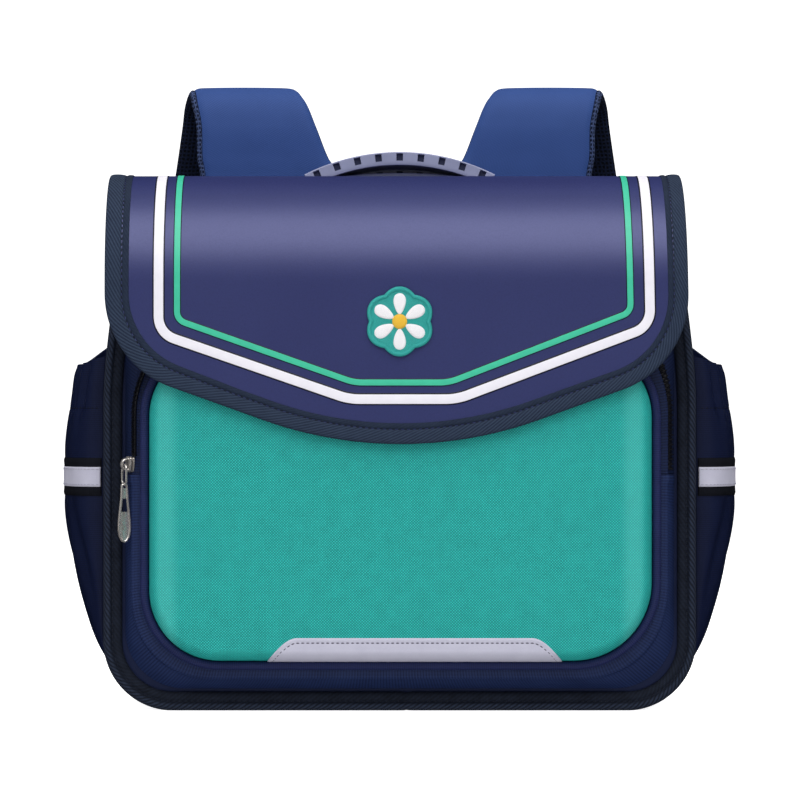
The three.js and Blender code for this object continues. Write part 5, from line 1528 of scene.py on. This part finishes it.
# Back panel
BACK_LOW, BACK_HIGH = reach("back_panel")
BACK_CORNER = BODY_CORNER - 4.3
BACK_TOP_CORNER = 16
BACK_PUFF = 2.2
BACK_ROWS = 24
# Section of its edge: inset, and distance in Y from its inner face, then from its outer face with its seam
BACK_INNER_ROWS = [(12, 0), (4, 0), (1.2, 1), (0, 3)]
BACK_FACE_ROWS = [(0, -3), (1.2, -1), (4, 0), (8, 0.2), (11.2, -0.2), (12.2, -1.1), (13.2, -0.2), (15.5, 0.8)]


def back_panel():
    """Padded back: rounded edges, a sewn border a little way in, and a soft crown inside it."""
    half, low, high = BACK_HIGH[0], BACK_LOW[2], BACK_HIGH[2]
    lower = [(-half, low, BACK_CORNER), (half, low, BACK_CORNER)]
    upper = [(half, high, BACK_TOP_CORNER), (-half, high, BACK_TOP_CORNER)]
    ring, inward = rounded_line([*lower, *upper], 4, closed=True)
    inner_y, face = BACK_LOW[1], BACK_HIGH[1]
    rows = np.concatenate([np.add(BACK_INNER_ROWS, (0, inner_y)), np.add(BACK_FACE_ROWS, (0, face))])
    inset, y = rows.T
    flat = ring[None] + inward[None] * inset[:, None, None]
    middle = flat[-1].mean(axis=0)
    shrink = 1 - np.linspace(0, 1, BACK_ROWS)[1:] ** CROWDING
    centre = middle + (flat[-1] - middle) * shrink[:, None, None]
    rear = middle + (flat[0] - middle) * shrink[::-1, None, None]
    flat = np.concatenate([rear, flat, centre])
    edge = BACK_FACE_ROWS[-1][1]
    puff = face + edge + (BACK_PUFF - edge) * np.sin(np.minimum((1 - shrink) * 4, 1) * np.pi / 2)
    y = np.concatenate([np.full(len(shrink), inner_y), y, puff])
    points = leaned(front_place(flat[..., 0], flat[..., 1], np.broadcast_to(y[:, None], flat.shape[:2])))
    uv = np.concatenate([flat, flat[:, :1]], axis=1)
    made = piece("back_panel_pad", [skin(points, uv, wrap_columns=True)], BACK_MESH, ["back_panel"])


# Handle: an arch of plastic with a row of windows along its front and back edges
GRIP_LOW, GRIP_HIGH = reach("handle_grip")
GRIP_RADIUS = 132
GRIP_TOP = 344
GRIP_HALF_LENGTH = 59.5
GRIP_THICKNESS = 8.3
GRIP_TILT = 0.09  # fall from front to back, as a slope
GRIP_FOOT = FLAP_TOP + 0.25
GRIP_ROUND = 0.8  # radius of its long edges
GRIP_CROWN = 0.5  # its upper face rises by this much, and its lower face is hollow by as much
# A lip under its back edge, which reaches up into the grip by its root and fades out towards its ends
GRIP_LIP = {"half_length": 38, "thickness": 2.2, "drop": 2.2, "root": 0.6, "fade": 8}
WINDOW_PITCH = 13.6
WINDOW_HALF = 2.1
WINDOW_DEPTH = 2.6
WINDOW_MIDDLE = -3.2  # below the arch's upper face
WINDOW_RIM = (0.25, 0.02, -0.12)  # lines of points beside each window's edge: distance outside it
WINDOW_ROWS = (2.5, 2.35, 1.98, 0, -1.98, -2.35, -2.5)  # lines of points along the handle's edges
CORE_LEVELS = (0.5, -1)  # faces of the core's plates, out from the windows' floors
# Plates in the lip: their upper and lower ends as shares of its drop, and their faces from its inner side
LIP_WINDOW = {"rows": (-0.35, -0.85), "levels": (-0.35, 0.6)}
WINDOWS = WINDOW_PITCH * np.arange(-4, 5)


def grip_place(run, depth, below):
    """A point of the handle: run along its arch, depth in Y from its middle, and below its upper face."""
    angle = run / GRIP_RADIUS
    radius = GRIP_RADIUS + below
    y = (GRIP_LOW[1] + GRIP_HIGH[1]) / 2 + depth
    z = GRIP_TOP - GRIP_RADIUS + radius * np.cos(angle) - GRIP_TILT * (y - GRIP_LOW[1])
    return np.stack([radius * np.sin(angle), y, np.maximum(z, GRIP_FOOT)], axis=-1)


def grip_lip(half):
    """The lip under the grip's back edge: a rounded upright section that fades out at its ends."""
    run = np.linspace(-1, 1, 61) * GRIP_LIP["half_length"]
    turn = circle(16)
    side = squared(np.cos(turn), 0.4) * GRIP_LIP["thickness"] / 2
    tall = squared(np.sin(turn), 0.4)
    drop = GRIP_LIP["drop"] * ease(0, GRIP_LIP["fade"], GRIP_LIP["half_length"] - np.abs(run))[:, None]
    root = GRIP_LIP["root"]
    below = root - GRIP_THICKNESS - (root + drop) * (1 - tall) / 2
    depth = np.broadcast_to(half - GRIP_LIP["thickness"] / 2 + side, below.shape)
    points = grip_place(np.broadcast_to(run[:, None], below.shape), depth, below)
    return rod_skin(points, run, np.append(turn, 2 * np.pi))


def window_plate(window, levels, across, below):
    """A small plate of the handle's core that shows in one window, between two depths."""
    faces = [grip_place(window + across, np.full_like(across, level), below) for level in levels]
    return sheet_skins(*faces, np.stack([across, below], axis=-1))


def handle_grip():
    """Arched grip: a rounded section carried along an arc, pushed in on both edges inside each window. Its
    core shows in the windows."""
    end = GRIP_RADIUS * np.arcsin(GRIP_HALF_LENGTH / GRIP_RADIUS)
    rim = WINDOW_HALF + np.array(WINDOW_RIM)
    beside = WINDOWS[:, None] + np.concatenate([-rim, [0], rim[::-1]])
    run = np.unique(np.concatenate([np.linspace(-end, end, 121), beside.ravel()]).round(4))
    rows = WINDOW_MIDDLE + np.array(WINDOW_ROWS)
    half = (GRIP_HIGH[1] - GRIP_LOW[1]) / 2
    bend = np.linspace(0, np.pi / 2, 6)[1:-1]
    front = np.stack([np.full(len(rows), -half), rows], axis=1)
    cos, sin = GRIP_ROUND * (1 - np.cos(bend)), GRIP_ROUND * (1 - np.sin(bend))
    low = np.stack([cos - half, sin - GRIP_THICKNESS], axis=1)
    top = np.stack([sin - half, -cos], axis=1)
    middle = np.stack([np.linspace(-0.8, 0.8, 5) * half, np.full(5, GRIP_CROWN - GRIP_THICKNESS)], axis=1)
    left = np.concatenate([top, front, low])
    right = (left * [-1, 1])[::-1]
    share = np.linspace(0.9, -0.9, 9)
    crown = np.stack([share * half, GRIP_CROWN * (1 - share**2)], axis=1)
    section = np.concatenate([left, middle, right, crown])
    in_run = np.abs(run[:, None] - WINDOWS).min(axis=1) < WINDOW_HALF
    in_rows = (np.abs(section[:, 1] - WINDOW_MIDDLE) < WINDOW_HALF) & (np.abs(section[:, 0]) > half - 0.1)
    pushed = in_run[:, None] & in_rows
    depth = section[:, 0] - np.sign(section[:, 0]) * WINDOW_DEPTH * pushed
    below = np.broadcast_to(section[:, 1], depth.shape)
    points = grip_place(np.broadcast_to(run[:, None], depth.shape), depth, below)
    across = and_last(travel(section), 1)
    skins = [rod_skin(points, run, across), grip_lip(half)]
    piece("handle_grip_moulded", skins, HANDLE_PLASTIC, ["handle_grip"])
    skins = []
    side = np.linspace(-WINDOW_HALF, WINDOW_HALF, 5)
    across, below = np.meshgrid(side, WINDOW_MIDDLE + side, indexing="ij")
    for window in WINDOWS:
        for facing in (-1, 1):
            levels = [facing * (half - WINDOW_DEPTH + level) for level in CORE_LEVELS]
            skins += window_plate(window, levels, across, below)
    rows = np.linspace(*LIP_WINDOW["rows"], 4) * GRIP_LIP["drop"] - GRIP_THICKNESS
    across, below = np.meshgrid(side, rows, indexing="ij")
    levels = [half - GRIP_LIP["thickness"] + level for level in LIP_WINDOW["levels"]]
    for window in WINDOWS[2:-2]:
        skins += window_plate(window, levels, across, below)
    piece("handle_windows", skins, HANDLE_CORE)


# Making the pieces
flap_sheet()
flap_tape()
flap_stripes()
badge()
pocket_panel()
piping()
pocket_band("pocket_gusset_cloth", False, GUSSET_NYLON, "pocket_gusset", 0.9)
pocket_band("zip_tape_cloth", True, ZIP_NYLON, "zip_tape", 0.0)
zip_coil()
zip_slider()
zip_link()
zip_puller()
reflective_trim()
body_tapes()
back_panel()
for wall in ("front_wall", "base_panel"):
    copied(wall + "_cloth", wall, GUSSET_NYLON, 0.6)
handle_grip()
copied("handle_base_moulded", "handle_base", HANDLE_CORE, 0.4)
for label, sign in (("left", -1), ("right", 1)):
    side_panel(label, sign)
    side_pocket(label, sign)
    pouch_tape("side_band", label, sign, BAND, SIDE_TAPE)
    pouch_tape("side_reflector", label, sign, STRIP, REFLECTIVE)
    strip_stitches(label, sign)
    strap(label, sign)
    webbing(label, sign)
    copied(f"strap_adjuster_{label}_moulded", f"strap_adjuster_{label}", BLACK_PLASTIC, 0.6)

# Stage: a round pale floor with a pale wall far round it
STAGE_RADIUS = 8000
STAGE_HEIGHT = 7000
STAGE_COLUMNS = 96


def studio_stage():
    """Lit white acrylic: a disc, and a cylinder that stands on its rim. Its glow is kept off the bag, whose
    own soft shadow shows on it."""
    turn = circle(STAGE_COLUMNS)
    ring = np.stack([np.cos(turn), np.sin(turn)], axis=1) * STAGE_RADIUS
    radius = np.array([0, 0.1, 0.3, 1, 1])
    height = np.array([0, 0, 0, 0, STAGE_HEIGHT])
    flat = ring[None] * radius[:, None, None]
    up = np.broadcast_to(height[:, None, None], (len(height), STAGE_COLUMNS, 1))
    points = np.concatenate([flat, up], axis=-1)
    verts, faces, _ = skin(points, np.zeros((len(radius), STAGE_COLUMNS + 1, 2)), wrap_columns=True)
    mesh = bpy.data.meshes.new("studio_stage")
    mesh.from_pydata((verts * MM).tolist(), [], faces.tolist())
    material, tree = blank("lit_white_acrylic", Roughness=0.9, Specular_IOR_Level=0.0, Emission_Strength=0.85)
    place = add(tree, "TexCoord").outputs["Object"]
    cloud = add(tree, "TexNoise", {"Vector": place, "Scale": per_metre(400), "Detail": 2.0})
    colour = add(tree, "Mix", {0: cloud.outputs[0], 6: srgb("#fafafa"), 7: srgb("#ffffff")}, data_type="RGBA")
    linked(material, Base_Color=colour.outputs[2], Emission_Color=colour.outputs[2])
    mesh.materials.append(material)
    made = bpy.data.objects.new("studio_stage", mesh)
    bpy.context.scene.collection.objects.link(made)
    made.visible_diffuse = False
    made.visible_glossy = False
    made.visible_transmission = False
    made.visible_shadow = False


# Softboxes: name, place and aim in metres, width, height, watts, and whether it shows in reflections
SOFTBOXES = [
    ("softbox_above", (0, -1.37, 2.15), (0, -0.05, 0.25), 2.8, 2.1, 50, True),
    ("softbox_top", (0, 0.45, 2.3), (0, 0, 0.3), 2.8, 1.2, 12, False),
    ("softbox_sheen", (0, 0.45, 2.4), (0, 0, 0.3), 2.8, 1.2, 2, True),
    ("softbox_left", (-2.3, -1.5, 0.7), (0, 0, 0.18), 0.9, 1.8, 3, True),
    ("softbox_right", (2.3, -1.5, 0.7), (0, 0, 0.18), 0.9, 1.8, 3, True),
    ("softbox_front", (0, -3.4, 1.3), (0, 0, 0.15), 2.4, 1.2, 9, False),
    ("softbox_below", (0, -1.1, -0.55), (0, -0.08, 0.1), 2.0, 0.8, 7, False),
    ("softbox_side_left", (-2.6, 0.5, 1.0), (0, 0, 0.18), 1.2, 1.4, 7, False),
    ("softbox_side_right", (2.6, 0.5, 1.0), (0, 0, 0.18), 1.2, 1.4, 7, False),
    ("softbox_back_left", (-1.8, 2.4, 1.0), (0, 0, 0.2), 1.4, 1.4, 24, False),
    ("softbox_back_right", (1.8, 2.4, 1.0), (0, 0, 0.2), 1.4, 1.4, 24, False),
]
SKY = 0.42


def studio_light():
    """Large soft area lights, and an even white surround that fills the shadows but isn't reflected."""
    for name, place, aim, width, height, watts, shows in SOFTBOXES:
        light = bpy.data.lights.new(name, "AREA")
        light.shape = "RECTANGLE"
        light.size, light.size_y = width, height
        light.energy = watts
        made = bpy.data.objects.new(name, light)
        made.location = place
        made.visible_camera = False
        made.visible_glossy = shows
        toward = np.array(aim) - np.array(place)
        made.rotation_euler = (
            np.arctan2(np.hypot(toward[0], toward[1]), -toward[2]),
            0,
            np.arctan2(-toward[0], toward[1]),
        )
        bpy.context.scene.collection.objects.link(made)
    world = bpy.data.worlds.new("studio")
    world.use_nodes = True
    surround = world.node_tree.nodes["Background"]
    surround.inputs["Color"].default_value = (1, 1, 1, 1)
    surround.inputs["Strength"].default_value = SKY
    world.cycles_visibility.glossy = False
    bpy.context.scene.world = world


# The photograph is a level front view from about 3 m, 800 pixels wide at 0.6 mm a pixel in the flap's plane
PHOTO_DISTANCE = 3000
PHOTO_WIDTH = 480
CAMERA_X, CAMERA_Z = 0.2, 188.9
SENSOR = 36


def camera():
    """A level camera in front of the bag, whose frame is as wide as the photograph in the flap's plane."""
    lens = bpy.data.cameras.new("camera")
    lens.sensor_width = SENSOR
    lens.lens = SENSOR * PHOTO_DISTANCE / PHOTO_WIDTH
    made = bpy.data.objects.new("camera", lens)
    made.location = (CAMERA_X * MM, (FLAP_FRONT - PHOTO_DISTANCE) * MM, CAMERA_Z * MM)
    made.rotation_euler = (np.pi / 2, 0, 0)
    bpy.context.scene.collection.objects.link(made)
    bpy.context.scene.camera = made


studio_stage()
studio_light()
camera()
bpy.context.scene.view_settings.view_transform = "Standard"
